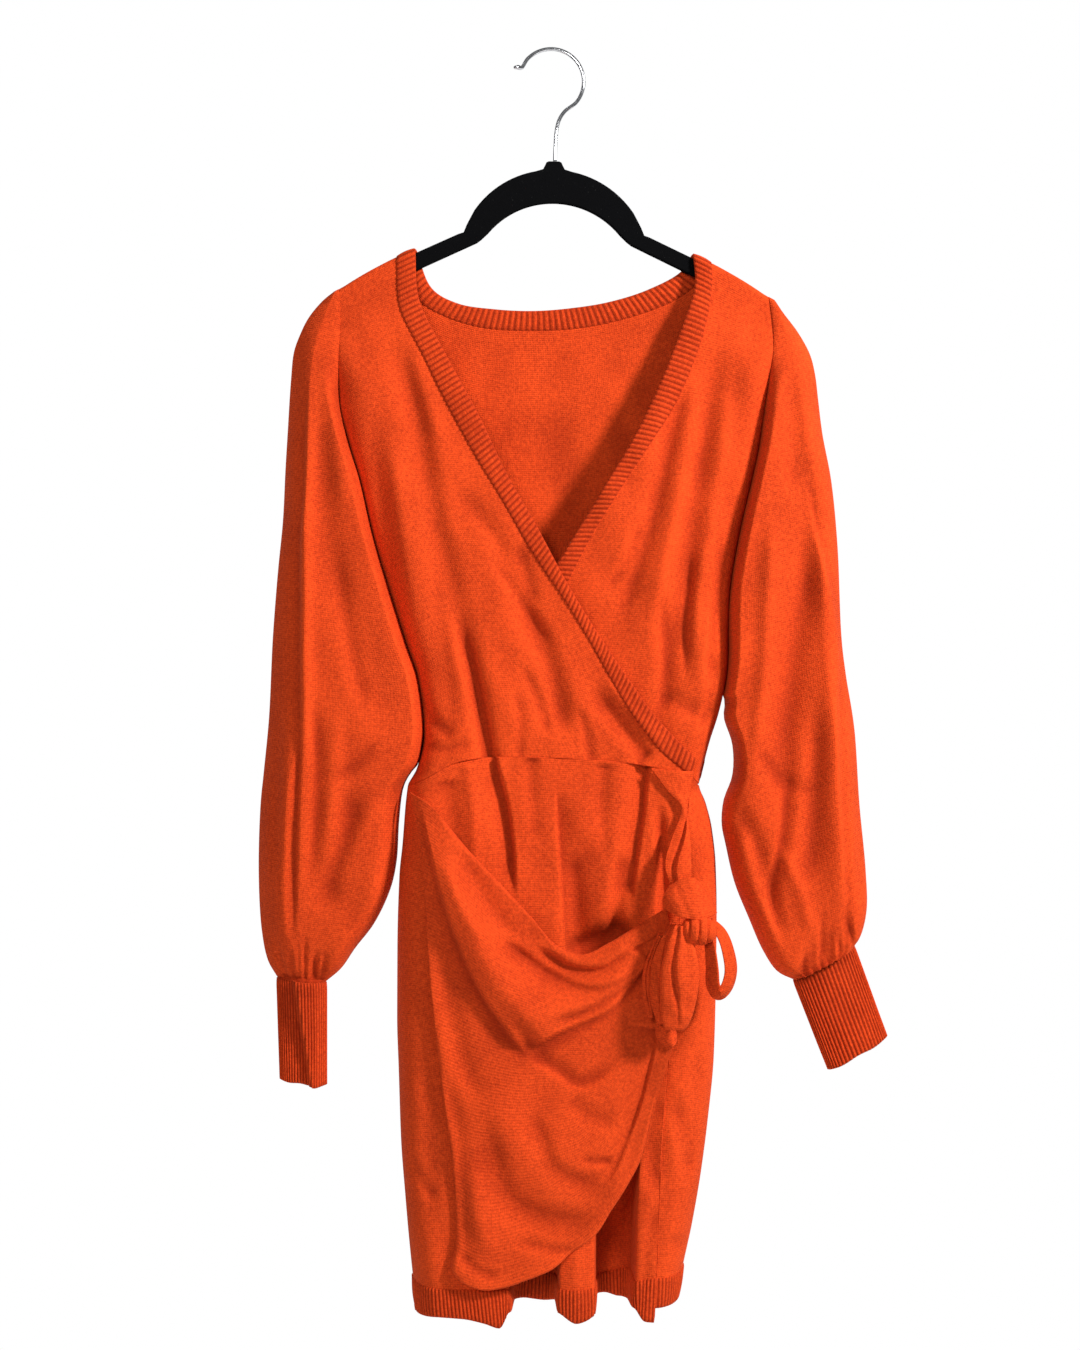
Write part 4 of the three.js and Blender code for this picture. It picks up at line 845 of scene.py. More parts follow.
# %% Folds of the bodice
OUTER_FOLDS = [
    fold([(-138, -247), (-122.5, -313), (-109.5, -371), (-91.3, -460), (-78, -519)], 6.5, 12, 13),
    fold([(-87, -485), (-70, -553), (-59, -610), (-51, -640)], 8, 9, 6, end=0.001),
    fold([(-79, -500), (-64, -560), (-50, -640)], 3, 2.5, 12, 0.3, 0.001),
    fold([(-35, -470), (-20, -505), (-3, -540), (6, -580), (10, -606)], 5.5, 10),
    fold([(-28.7, -537), (-12.3, -575), (-2.8, -607)], 2.4, 5),
    fold([(30, -556), (50, -584), (71, -610), (82, -623)], 5.5, 7, 9, end=0.1),
    fold([(-108, -330), (-98, -390), (-84, -450)], -3.0, 10),
    fold([(-126, -262), (-112, -310), (-98, -352)], -2.4, 8),
    fold([(-90, -380), (-52, -430), (-20, -500)], 2.0, 8),
    fold([(-34, -433), (-24, -462), (-16, -492)], 3.0, 7),
    fold([(-60, -440), (-28, -487), (2, -530)], 1.8, 5),
    fold([(-110, -430), (-100, -500), (-92, -570), (-96, -620)], 3.6, 9, 14),
    fold([(-122, -560), (-104, -590), (-84, -604)], 3.0, 6),
    fold([(-118, -612), (-92, -612), (-66, -606)], 2.2, 5),
    fold([(-30, -618), (-28, -590), (-34, -560)], 1.8, 4.5, start=0.02),
    fold([(32, -622), (28, -600), (20, -575)], 2.2, 4.5, start=0.02),
    fold([(-160, -300), (-152, -380), (-141, -460), (-124, -540)], 3.2, 10),
    fold([(-140, -330), (-132, -420), (-120, -500)], -2.2, 8),
    fold([(40, -545), (66, -580), (96, -612)], -2.0, 5),
]
UNDER_FOLDS = [
    fold([(145, -250), (136, -305), (126, -372), (118, -440), (107, -515), (93, -582)], 7.5, 12),
    fold([(118, -290), (105, -328), (90, -394), (72, -455), (52, -520)], 6.5, 8, 10),
    fold([(132, -300), (116, -372), (98, -440), (82, -520)], -3.0, 8),
    fold([(91.7, -564), (110, -575), (130, -582)], 3, 9),
    fold([(93, -470), (97, -545), (91, -591)], 3.2, 6),
    fold([(141, -526), (136, -566), (127, -601)], 4.5, 6),
    fold([(160, -260), (158, -340), (150, -420), (140, -500)], 3.2, 9),
    fold([(146, -420), (140, -500), (132, -560)], 5.0, 8, 4),
    fold([(120, -440), (114, -500), (114, -560)], 3.0, 6, 3),
    fold([(76, -410), (64, -450), (44, -480)], 2.2, 5),
    fold([(132, -420), (122, -480), (118, -540)], -2.6, 7),
]
BACK_FOLDS = [
    fold([(-120, -250), (-96, -330), (-84, -430), (-70, -560)], 3.0, 16),
    fold([(118, -250), (98, -330), (74, -420), (66, -560)], 3.0, 16),
    fold([(-20, -300), (10, -380), (16, -470)], -2.0, 26),
    fold([(40, -280), (76, -330), (110, -400)], 1.6, 12),
    fold([(-50, -560), (-46, -610), (-44, -641)], 2.0, 10, end=0.001),
    fold([(48, -560), (44, -610), (46, -641)], 2.0, 10, end=0.001),
]


def front_folds(x, z):
    """The folds that the outer wrap and all that lies under it share."""
    return fold_depth(OUTER_FOLDS, x, z) + 0.7 * ripples(x, z, 46, 3) * ease(-(z + 215) / 40)


def outer_front(x, z):
    inset = np.maximum(x - right_x(z), 0)
    return body_front(x, z) + front_folds(x, z) * round_off(inset, 12)


def under_offset(x, z):
    """How far the under wrap lies behind the outer one."""
    distance, side, _ = nearest_on(spline(RIGHT_NECK, 4), x, z)
    share = np.where(side < 0, 1, 1 - ease(distance / 75))
    apart = mix(5.2, 7, ease((z + 645) / 90))
    return share * (apart + fold_depth(OUTER_FOLDS, x, z))


def under_front(x, z):
    own = fold_depth(UNDER_FOLDS, x, z) + 0.7 * ripples(x, z, 46, 5) * ease(-(z + 215) / 40)
    behind = under_offset(x, z) + own
    return body_front(x, z) + behind * round_off(np.maximum(left_x(z) - x, 0), 20)


def inner_back(x, z):
    inset = np.maximum(np.minimum(x - right_x(z), left_x(z) - x), 0)
    sunk = fold_depth(BACK_FOLDS, x, z) + 0.4 * ripples(x, z, 60, 7) * ease(-(z + 235) / 40)
    return body_back(x, z) - sunk * round_off(inset, 14)


print("outer folds:", len(OUTER_FOLDS), "under folds:", len(UNDER_FOLDS))

# %% Bodice panels
ROWS = from_shoulder(150, 450)
right_edge = spline(side_edge(RIGHT_SIDE, -645.6))
left_edge = spline(side_edge(LEFT_SIDE, -644.6))
right_top = on_shoulder(-NECK_HALF - BAND)
left_top = on_shoulder(NECK_HALF + BAND)


def make_bodice():
    right = sheet_grid(
        right_edge, spline([*RIGHT_SEAM[:-1], WAIST[OUTER_ENDS]]),
        lambda x, z, near: outer_front(x, z), fractions(130, 0.5), ROWS,
        top=spline([on_shoulder(-SHOULDER_END), right_top]),
        bottom=spline([tuple(right_edge[-1]), *WAIST[1:OUTER_ENDS + 1]]))
    add_cloth("outer_wrap", right, "right_front", seamed=True)
    left = sheet_grid(
        spline([*LEFT_SEAM[:-1], WAIST[UNDER_ENDS]]), left_edge,
        lambda x, z, near: under_front(x, z), fractions(110, 0.5), ROWS,
        top=spline([left_top, on_shoulder(SHOULDER_END)]),
        bottom=spline([*WAIST[UNDER_ENDS:-1], tuple(left_edge[-1])]))
    add_cloth("under_wrap", left, "left_front", seamed=True)
    neck = np.vstack([spline([on_shoulder(SHOULDER_END), left_top]), spline(BACK_SEAM)[1:],
                      spline([right_top, on_shoulder(-SHOULDER_END)])[1:]])
    back = sheet_grid(
        left_edge, right_edge, lambda x, z, near: inner_back(x, z),
        fractions(90, 0.4), from_shoulder(76, 450), top=neck,
        bottom=spline([tuple(left_edge[-1]), (60, -640), (-60, -640), tuple(right_edge[-1])]))
    add_cloth("bodice_back_panel", back, "bodice_back", seamed=True)


make_bodice()

# %% [markdown]
# The neck edge is finished with a band of rib knit. Its ribs run across the band, so the shell's
# outer face is raised in a wave along its length, and the band is a little crowned and stands
# proud of the front that it is sewn to.

# %% Neck bands
BAND_RIB = 4.8
BAND_ROWS = 9
RIB_POINTS = 6


def band_grid(neck, seam, depth, share_to=1.0, neck_on_top=True):
    neck_line, seam_line = Line(spline(neck)), Line(spline(seam))
    count = int(neck_line.length * share_to / BAND_RIB) * RIB_POINTS
    shares = np.linspace(0, share_to, count + 1)
    w = np.linspace(0, 1, BAND_ROWS)[:, None, None]
    flat = mix(neck_line.at(shares)[None], seam_line.at(shares)[None], w * 0.97)
    x, z = flat[..., 0], flat[..., 1]
    crown = 0.7 * np.sin(np.pi * np.linspace(0.08, 0.92, BAND_ROWS))[:, None]
    grid = np.stack([x, depth(x, z), z], axis=-1)
    wave = np.cos(shares * neck_line.length * 2 * np.pi / BAND_RIB)
    edge = np.sin(np.pi * np.linspace(0.12, 0.88, BAND_ROWS))[:, None] ** 0.5
    ribs = (0.5 + 0.5 * wave)[None, :] ** 0.8 * edge
    relief = crown + 1.1 * ribs
    if not neck_on_top:
        grid, relief, ribs = grid[::-1], relief[::-1], ribs[::-1]
    return grid, relief, ribs


def make_bands():
    grid, relief, ribs = band_grid(RIGHT_NECK, RIGHT_SEAM, lambda x, z: outer_front(x, z) - 0.5)
    add_cloth("outer_neck_band", grid, "right_front_band", RIB, relief=relief,
              rib_shade_pattern=ribs)
    grid, relief, ribs = band_grid(LEFT_NECK, LEFT_SEAM, lambda x, z: under_front(x, z) - 0.2,
                                   0.985, neck_on_top=False)
    hidden = ease((0.66 - np.linspace(0, 1, grid.shape[1])) / 0.04)
    add_cloth("under_neck_band", grid, "left_front_band", RIB,
              relief=relief * (0.25 + 0.75 * hidden), rib_shade_pattern=ribs)
    grid, relief, ribs = band_grid(BACK_NECK, BACK_SEAM, lambda x, z: inner_back(x, z))
    add_cloth("back_band", grid, "back_neck_band", RIB, relief=relief, rib_shade_pattern=ribs,
              two_faced=0.9)


make_bands()

# %% [markdown]
# The sleeves are wide and cut in one with a low underarm, so they hang as flat bags with long
# folds and gather into the cuffs. Each is made in a front and a back half that meet on the outer
# fold line and, below the body, along the underarm.

# %% Sleeve tables
SLEEVE_FRONT = table("z mid outer inner", [
    (-205, -6, 6, 10), (-222, -7.4, 12, 20), (-251, -12.6, 17, 20), (-280, -17.5, 20, 16),
    (-307, -23, 20, 10), (-378, -31, 20, 8), (-470, -34, 22, 8), (-600, -36, 24, 8),
    (-646, -35, 20, 12), (-700, -34, 20, 16), (-770, -28, 18, 16), (-800, -22, 16, 14),
    (-820, -13, 14, 12),
])
SLEEVE_BACK = table("z mid outer inner", [
    (-205, 6, 5, 4), (-222, 7, 8, 4), (-251, 11, 12, 6), (-280, 14, 14, 8), (-307, 16, 14, 8),
    (-378, 18, 14, 8), (-470, 20, 14, 8), (-600, 21, 14, 8), (-646, 20, 14, 10),
    (-700, 19, 14, 12), (-770, 16, 14, 12), (-800, 13, 14, 12), (-820, 10, 12, 12),
])
RIGHT_OUTER = [
    (-203.5, -219.8), (-216, -234.9), (-223.5, -249.9), (-228.8, -264.9), (-231.4, -289.5),
    (-234.4, -337), (-236.3, -368.7), (-238.5, -413.2), (-242.9, -458.1), (-247.4, -516.5),
    (-250.8, -586.9), (-255.2, -632.7), (-258.3, -664.4), (-259.8, -726), (-256.9, -775.3),
    (-251.5, -800.5), (-243.5, -814.5),
]
RIGHT_UNDERARM = [
    (-123.5, -632), (-131.8, -646), (-136, -674.4), (-138.5, -713.3), (-144, -737.5),
    (-158.3, -767.7), (-174.9, -789.3), (-187.1, -807), (-200.5, -818.5),
]
LEFT_OUTER = [
    (200.8, -229.5), (214.8, -248.1), (225.3, -267.5), (229.7, -285.1), (232.3, -307.1),
    (235.9, -337), (243.7, -379.3), (249.1, -435.6), (252.6, -516.5), (256.1, -546.5),
    (263.8, -595.7), (268.4, -664), (273.7, -719.6), (274.6, -755), (269.5, -777),
    (263.5, -786.5),
]
LEFT_UNDERARM = [
    (150.5, -572), (149.5, -586.3), (157, -610.4), (157, -637.7), (149.1, -660), (147.5, -680),
    (151, -698.3), (158.8, -731.4), (170.9, -761.6), (184.4, -792.3), (196.6, -809.8),
    (210.5, -816.7),
]
RIGHT_SLEEVE_FOLDS = [
    fold([(-213, -290), (-216, -318), (-218, -394), (-221, -438), (-220, -519), (-219.8, -601),
          (-223.3, -692), (-225, -753), (-227.6, -801)], 5, 2.0, 12),
    fold([(-211, -300), (-212, -394), (-214, -519), (-213, -640)], -3, 6),
    fold([(-172, -640), (-182, -700), (-204, -760)], 5, 11),
    fold([(-205, -300), (-200, -400), (-186, -520)], 4.5, 14),
    fold([(-196, -270), (-188, -340), (-178, -420)], -3.0, 9),
    fold([(-190, -430), (-176, -520), (-160, -590)], 3.0, 8),
    fold([(-150, -600), (-176, -630), (-206, -640)], 2.4, 8),
    fold([(-145, -650), (-170, -690), (-190, -745)], -2.6, 8),
    fold([(-240, -560), (-241, -650), (-243, -740)], 3.0, 6),
    fold([(-208, -560), (-204, -650), (-212, -740)], 3.4, 8, 5),
    fold([(-186, -560), (-190, -640), (-198, -720)], -2.6, 9),
]
LEFT_SLEEVE_FOLDS = [
    fold([(212, -360), (222, -420), (244, -515), (241, -582), (243.5, -648), (248, -736),
          (250, -775)], -6, 4, 13),
    fold([(190, -400), (186, -450), (181.7, -538), (175, -603), (171, -659)], -4, 9, 7),
    fold([(214, -330), (219, -450), (206, -538), (199, -626), (196, -690)], 7, 12),
    fold([(204, -620), (197, -690), (188, -740), (200, -785)], 5, 7, 4),
    fold([(226, -560), (224, -660), (218, -740)], 5, 10),
    fold([(205, -280), (208, -340), (206, -400)], 2.6, 9),
    fold([(168, -600), (196, -640), (226, -650)], 2.0, 7),
    fold([(160, -660), (176, -700), (192, -760)], 3.6, 7),
    fold([(152, -640), (158, -668), (156, -700)], 4.0, 8, start=0.05),
    fold([(190, -690), (210, -730), (224, -780)], -2.6, 6),
    fold([(262, -600), (264, -680), (266, -750)], 3.0, 5),
]
print("sleeve folds:", len(RIGHT_SLEEVE_FOLDS), len(LEFT_SLEEVE_FOLDS))


# %% Sleeves
SLEEVE_TOP = 189


def gathers(outer_end, inner_end, count, length, seed, fan):
    """Short folds that run up the sleeve from the cuff's seam, uneven in every size."""
    draw = np.random.default_rng(seed)
    made = []
    for i in range(count):
        t = (i + 0.5 + draw.uniform(-0.28, 0.28)) / count
        foot = mix(np.array(outer_end), np.array(inner_end), t)
        top = foot + (mix(-fan, fan, t), length * draw.uniform(0.55, 1.2))
        middle = mix(foot, top, 0.5) + (draw.uniform(-2, 2), 0)
        made.append(fold([foot, middle, top], draw.uniform(2.6, 4.6), draw.uniform(2.2, 3.8),
                         start=0.02, end=0.7))
    return made


def flank(distance, reach, roundness):
    """0 at an edge, 1 from reach on: a quarter round at 2, a straight slope at 1."""
    left = 1 - np.clip(distance / reach, 0, 1)
    return np.maximum(0, 1 - left ** roundness) ** (1 / roundness)


def sleeve_half(side, front, body_edge, outer, underarm, folds):
    is_right = side == "right"
    roundness = 1.2 if is_right and front else 1.8
    shape = SLEEVE_FRONT if front else SLEEVE_BACK
    mid, outer_reach, inner_reach = (column(shape, n) for n in ("mid", "outer", "inner"))
    body_at = body_front if front else body_back
    side_x = right_x if is_right else left_x
    start = on_shoulder(-SLEEVE_TOP if is_right else SLEEVE_TOP)
    outer_line = spline([(start[0] + (-5 if is_right else 5), start[1] - 2.5), *outer])
    away = -0.05 if is_right else 0.05
    throat = body_edge[body_edge[:, 1] > underarm[0][1] + 4] + (away, 0)
    inner_line = np.vstack([throat, spline([tuple(throat[-1]), *underarm])[1:]])
    outer_on_left = is_right == front
    edge = -HALF_GAP if front else HALF_GAP
    seed = 11 + 2 * is_right + front

    def depth(x, z, near):
        from_outer, from_inner = near["left"], near["right"]
        if not outer_on_left:
            from_outer, from_inner = from_inner, from_outer
        room = (near["left"] + near["right"]) / 2 + 1e-6
        sunk = fold_depth(folds, x, z) + 0.9 * ripples(x, z, 52, seed)
        sunk = sunk * ease(near["top"] / 60) * (1 if front else -1)
        reach = outer_reach(z) + (8 * ease((-z - 380) / 120) if is_right and front else 0)
        y = mix(edge, mid(z) + sunk, flank(from_outer, np.minimum(reach, room), roundness))
        seam = np.where(z > underarm[0][1], body_at(side_x(z), z), edge)
        y = mix(seam, y, round_off(from_inner, np.minimum(inner_reach(z), room)))
        return mix(edge, y, round_off(near["top"], 6))

    lines = (outer_line, inner_line) if outer_on_left else (inner_line, outer_line)
    return sheet_grid(*lines, depth, fractions(96 if front else 60, 0.6),
                      from_shoulder(150 if front else 100, 640))


def make_sleeve(side, outer, underarm, folds, body_edge, back_folds):
    ends = (outer[-1], underarm[-1])
    tucks = gathers(*ends, 9, 52, 21 if side == "right" else 22, 6)
    front = sleeve_half(side, True, body_edge, outer, underarm, folds + tucks)
    add_cloth(f"{side}_sleeve_front_half", front, f"{side}_sleeve_front", seamed=True)
    back = sleeve_half(side, False, body_edge, outer, underarm, back_folds + tucks)
    add_cloth(f"{side}_sleeve_back_half", back, f"{side}_sleeve_back", seamed=True)


RIGHT_BACK_FOLDS = [
    fold([(-208, -280), (-206, -400), (-196, -540)], 3, 14),
    fold([(-232, -420), (-236, -560), (-236, -700)], 2.5, 9),
    fold([(-166, -620), (-180, -700), (-202, -770)], 3, 12),
]
LEFT_BACK_FOLDS = [
    fold([(206, -290), (204, -400), (196, -540)], 3, 14),
    fold([(236, -420), (240, -560), (248, -700)], 2.5, 9),
    fold([(176, -620), (190, -700), (210, -770)], 3, 12),
]
make_sleeve("right", RIGHT_OUTER, RIGHT_UNDERARM, RIGHT_SLEEVE_FOLDS, right_edge,
            RIGHT_BACK_FOLDS)
make_sleeve("left", LEFT_OUTER, LEFT_UNDERARM, LEFT_SLEEVE_FOLDS, left_edge, LEFT_BACK_FOLDS)

# %% [markdown]
# The cuffs are long tubes of narrow rib that pull the sleeve in. A flattened ring with a wave
# for each rib, lofted from the sleeve's end to the cuff's, gives both faces at once. The right
# cuff is folded over itself along its length, which pushes part of its front forward.

# %% Cuffs
CUFF_RIBS = 48
CUFF_LENGTH = 91


def make_cuff(name, node, top, end, half_depth, fold_from=None, fold_deep=0.0, seed=31):
    columns, rows = CUFF_RIBS * 8, 26
    angle = -np.pi + np.arange(columns) / columns * 2 * np.pi
    s = (np.cos(angle) + 1) / 2
    t = np.linspace(0, 1, rows)[:, None]
    outer = mix(np.array(top[0]), np.array(end[0]), t)
    inner = mix(np.array(top[1]), np.array(end[1]), t)
    left, right = (outer, inner) if top[0][0] < top[1][0] else (inner, outer)
    flat = mix(left[:, None, :], right[:, None, :], s[None, :, None])
    forward = 0.0
    if fold_from is not None:
        starts = mix(fold_from[0], fold_from[1], t)
        forward = fold_deep * ease((s - starts) / 0.14) * ease((1 - s) / 0.2)
    swell = half_depth * (1 + 0.12 * np.cos(t * 5 + 1.0)) + 1.5 * ease((0.12 - t) / 0.12)
    y = swell * np.sin(angle)[None, :]
    y = y - np.where(np.sin(angle) < 0, forward, forward * 0.5)
    x, z = flat[..., 0], flat[..., 1]
    y = y + 0.8 * ripples(x, z, 40, seed) * np.sin(angle)[None, :] ** 2
    end_wave = 0.7 * np.sin(s * 11 + seed)[None, :] * ease((t - 0.7) / 0.3)
    grid = np.stack([x, y, z - end_wave], axis=-1)
    wave = 0.5 + 0.5 * np.cos(angle * CUFF_RIBS)[None, :]
    ribs = wave ** 0.9 * (1 - 0.4 * ease((0.06 - t) / 0.06))
    add_cloth(name, grid, node, RIB, closed=True, relief=ribs, rib_shade_pattern=ribs)


make_cuff("right_rib_cuff", "right_cuff", [(-243.5, -815.2), (-200.5, -819.2)],
          [(-240.5, -904), (-200.5, -818.5 - CUFF_LENGTH)], 8, (0.3, 0.62), 8, 31)
make_cuff("left_rib_cuff", "left_cuff", [(263.8, -787.2), (210.8, -817.4)],
          [(292.5, -867), (241.5, -896)], 9, seed=37)

# %% [markdown]
# The skirt is straight, and its rib hem hangs in three lobes with two deep valleys between
# them. Lines that run down the front carry the lobes: each has its place along the hem, how far
# behind the lobes it lies there, and the height of the hem's edge on it.

# %% Skirt tables
SKIRT_LINES = table("hem_x deep hem_z", [
    (-123.8, 0, -1107), (-121.5, 0, -1104), (-100, 0, -1099), (-81, -2, -1099.5),
    (-62, -3, -1103), (-48, -2, -1107.5), (-39.5, 0, -1095), (-36, 40, -1097),
    (-25, 49, -1098), (-8, 49, -1100), (1.5, 40, -1097), (5, 0, -1096), (19, -3, -1103.4),
    (33.5, 0, -1098), (37.5, 40, -1092), (47, 48, -1093), (58, 48, -1096), (66.5, 38, -1096),
    (69.5, 0, -1091), (78, -3, -1101), (86, -1, -1103),
])
SIDE_SEAM = table("z x", [(-636, 117.5), (-880, 97.8), (-981, 90.4), (-1085, 86.1),
                          (-1115, 84.5)])
SKIRT_FOLDS = [
    fold([(-54, -610), (-50, -632), (-43, -657), (-37, -700), (-35, -745)], 8, 2.2, 13,
         start=0.001, end=0.2),
    fold([(-92, -640), (-88, -680), (-84, -720)], 3, 9, start=0.02),
    fold([(-76, -625), (-70, -660), (-68, -697), (-66, -740)], -2.0, 6, start=0.02),
    fold([(26, -680), (26.5, -743), (24, -800)], 5, 14),
    fold([(3, -640), (5, -685), (9, -740), (12, -800)], 5, 12, 2.2, start=0.3, end=0.1),
    fold([(81.8, -622), (78, -645), (76, -668), (70, -705), (65.5, -745)], 7, 2.2, 12,
         start=0.001, end=0.1),
    fold([(92, -655), (93, -695), (95, -730), (94, -770)], 8, 5, 5, end=0.1),
    fold([(8, -792), (28, -786), (48, -776), (68, -764)], 18, 12, 24, end=0.2),
    fold([(16, -700), (19, -740), (20, -785)], 5, 8),
    fold([(60, -700), (56, -735), (50, -775)], 5, 7),
    fold([(44, -626), (42, -668), (46, -720)], 2.4, 7, start=0.02),
    fold([(-20, -622), (-18, -660), (-14, -700)], 2.2, 7, start=0.02),
    fold([(104, -640), (101, -700), (99, -760)], 2.2, 5, start=0.02),
    fold([(94, -905), (84, -950), (86, -1000)], 4, 7),
    fold([(88, -1000), (80, -1040), (78, -1075)], 2.5, 5, end=0.001),
    fold([(-112, -880), (-108, -960), (-104, -1040)], 2.6, 9),
    fold([(-126, -960), (-112, -990), (-100, -1000)], 2.0, 6),
    fold([(22, -1000), (18, -1040), (20, -1075)], -2.0, 7, end=0.001),
]
SIDE_FOLDS = [
    fold([(124, -655), (128, -690), (124, -740)], 2.5, 8),
    fold([(112, -700), (118, -760), (112, -830)], 2.5, 8),
    fold([(104, -905), (112, -950), (116, -985)], 4, 8),
    fold([(96, -880), (92, -930), (96, -990)], 3, 6),
    fold([(126, -860), (122, -930), (116, -1000)], 2.4, 8),
    fold([(100, -1030), (110, -1040), (118, -1036)], 2.4, 6),
]
BACK_SKIRT_FOLDS = [
    fold([(-60, -645), (-58, -760), (-64, -900), (-60, -1080)], 3.5, 15, start=0.05, end=0.001),
    fold([(10, -660), (4, -800), (10, -950), (6, -1080)], 4.5, 20, end=0.001),
    fold([(70, -645), (74, -780), (66, -920), (60, -1080)], 3.5, 15, start=0.05, end=0.001),
]
seam_at = column(SIDE_SEAM, "x")
SEAM_GAP = 0.8
WAIST_GAP = 0.6
LINE_POINTS = 241
LAST_LINE = len(SKIRT_LINES["hem_x"]) - 1


def rib_seam_height(x):
    return mix(-1075.5, -1066, ease((x - 40) / 50))


def skirt_front_depth(x, z):
    inset = np.maximum(x - right_x(z), 0)
    sunk = fold_depth(SKIRT_FOLDS, x, z) + 0.9 * ripples(x, z, 60, 9)
    return body_front(x, z) + sunk * round_off(inset, 14)


def line_values(j, name):
    return smooth_through(np.arange(LAST_LINE + 1.0), SKIRT_LINES[name])(j)


print("skirt lines:", LAST_LINE + 1)


# %% Skirt front
def skirt_front_grid():
    waist = spline([tuple(right_edge[-1]), *WAIST[1:OUTER_ENDS + 1]])
    j = np.linspace(0, LAST_LINE, LINE_POINTS)[None, :]
    t = fractions(150, 0.2)[:, None]
    span = SKIRT_LINES["hem_x"][-1] - SKIRT_LINES["hem_x"][0]
    hem_share = (line_values(j, "hem_x") - SKIRT_LINES["hem_x"][0]) / span
    share = j / LAST_LINE
    waist_share = share - 0.35 * np.sin(2 * np.pi * share) / (2 * np.pi)
    x = mix(WAIST[0][0], WAIST[OUTER_ENDS][0], share)
    for _ in range(4):
        top = np.interp(x, waist[:, 0], waist[:, 1]) - WAIST_GAP
        z = mix(top, rib_seam_height(line_values(j, "hem_x")), t)
        x = mix(right_x(z), seam_at(z), mix(waist_share, hem_share, ease(t * 1.05)))
    valley = ease((-z - 860) / 200)
    y = skirt_front_depth(x, z) + line_values(j, "deep") * valley
    return np.stack([x, y, z], axis=-1)


skirt_grid = skirt_front_grid()
add_cloth("skirt_front_panel", skirt_grid, "skirt_front", seamed=True)

# %% [markdown]
# The skirt's back wraps past the wearer's left side and meets the front at a seam that shows on
# the front. One row of points therefore starts at that seam, turns the side and crosses behind.

# %% Skirt back
SIDE_TOP, BACK_TOP = -646.2, -640.6
FRONT_SHARES = 1 - (1 - np.linspace(0, 1, 22)) ** 1.8
BACK_SHARES = fractions(100, 0.55)[1:]


def skirt_back_row(height_at):
    """Points from the front seam round the side and across the back, at a height by x."""
    points = []
    for shares, on_front in ((FRONT_SHARES, True), (BACK_SHARES, False)):
        z = height_at(np.zeros(len(shares)), on_front)
        for _ in range(4):
            seam = seam_at(z) + SEAM_GAP
            start, end = (seam, left_x(z)) if on_front else (left_x(z), right_x(z))
            x = mix(start, end, shares)
            z = height_at(x, on_front)
        if on_front:
            y = body_front(x, z) + fold_depth(SIDE_FOLDS, x, z) + 0.7 * ripples(x, z, 60, 9)
            y = mix(body_front(x, z), y, round_off(np.maximum(left_x(z) - x, 0), 14))
        else:
            inset = np.maximum(np.minimum(x - right_x(z), left_x(z) - x), 0)
            out = fold_depth(BACK_SKIRT_FOLDS, x, z) + 0.4 * ripples(x, z, 70, 13) + 0.5
            y = body_back(x, z) + out * round_off(inset, 20)
            y = mix(inner_back(x, z), y, ease((-641 - z) / 30))
        points.append(np.stack([x, y, z], axis=-1))
    return np.vstack(points)


def skirt_back_grid():
    waist = spline([*WAIST[UNDER_ENDS:-1], tuple(left_edge[-1])])

    def top(x, on_front):
        behind = mix(SIDE_TOP, BACK_TOP, ease((128 - np.abs(x)) / 60))
        below_front = np.interp(x, waist[:, 0], waist[:, 1]) - WAIST_GAP
        return mix(below_front, behind, ease((x - 124) / 4)) if on_front else behind

    def row(t):
        return skirt_back_row(lambda x, on_front: mix(top(x, on_front), rib_seam_height(x), t))

    return np.array([row(t) for t in fractions(110, 0.2)])


skirt_back = skirt_back_grid()
add_cloth("skirt_back_panel", skirt_back, "skirt_back", seamed=True)

# %% [markdown]
# The hem is a strip of narrow rib below the skirt. It follows the skirt's last row at its top
# and its own edge below, and its ribs run down, so that the lobes' round ends read as pleats.

# %% Rib hem
HEM_RIB = 3.2
HEM_ROWS = 9


def hem_strip(name, node, top, bottom):
    upper, lower = Line(spline(top, 2)), Line(spline(bottom, 2))
    count = int(upper.length / HEM_RIB) * RIB_POINTS + 1
    shares = np.linspace(0, 1, count)
    w = np.linspace(0, 1, HEM_ROWS)[:, None, None]
    grid = mix(upper.at(shares)[None], lower.at(shares)[None], w)
    swell = 0.9 * np.sin(np.pi * np.linspace(0.0, 0.8, HEM_ROWS))[:, None]
    wave = 0.5 + 0.5 * np.cos(np.arange(count) * 2 * np.pi / RIB_POINTS)
    ribs = np.broadcast_to(wave ** 0.9, grid.shape[:2])
    add_cloth(name, grid, node, RIB, relief=0.2 + swell + 0.95 * ribs, rib_shade_pattern=ribs,
              two_faced=0.7)


def make_hems():
    drop = np.array([0, 0, -0.3])
    j = np.linspace(0, LAST_LINE, LINE_POINTS)
    x, z = line_values(j, "hem_x") * 0.985, line_values(j, "hem_z")
    edge = np.stack([x, body_front(x, z) + line_values(j, "deep"), z], axis=-1)
    hem_strip("hem_rib_front", "hem_front", skirt_grid[-1] + drop, edge)
    back = skirt_back_row(lambda x, on_front: mix(-1104, -1091, ease((x + 90) / 180)))
    hem_strip("hem_rib_back", "hem_back", skirt_back[-1] + drop, back)


make_hems()

# %% [markdown]
# The overlay is a panel caught in the wearer's right side seam and pulled across the front into
# the knot. Its top edge hangs as a cowl, and rolls run from the cowl up into the knot. All its
# edges turn under, so the depth falls back to the skirt over the last few millimetres.

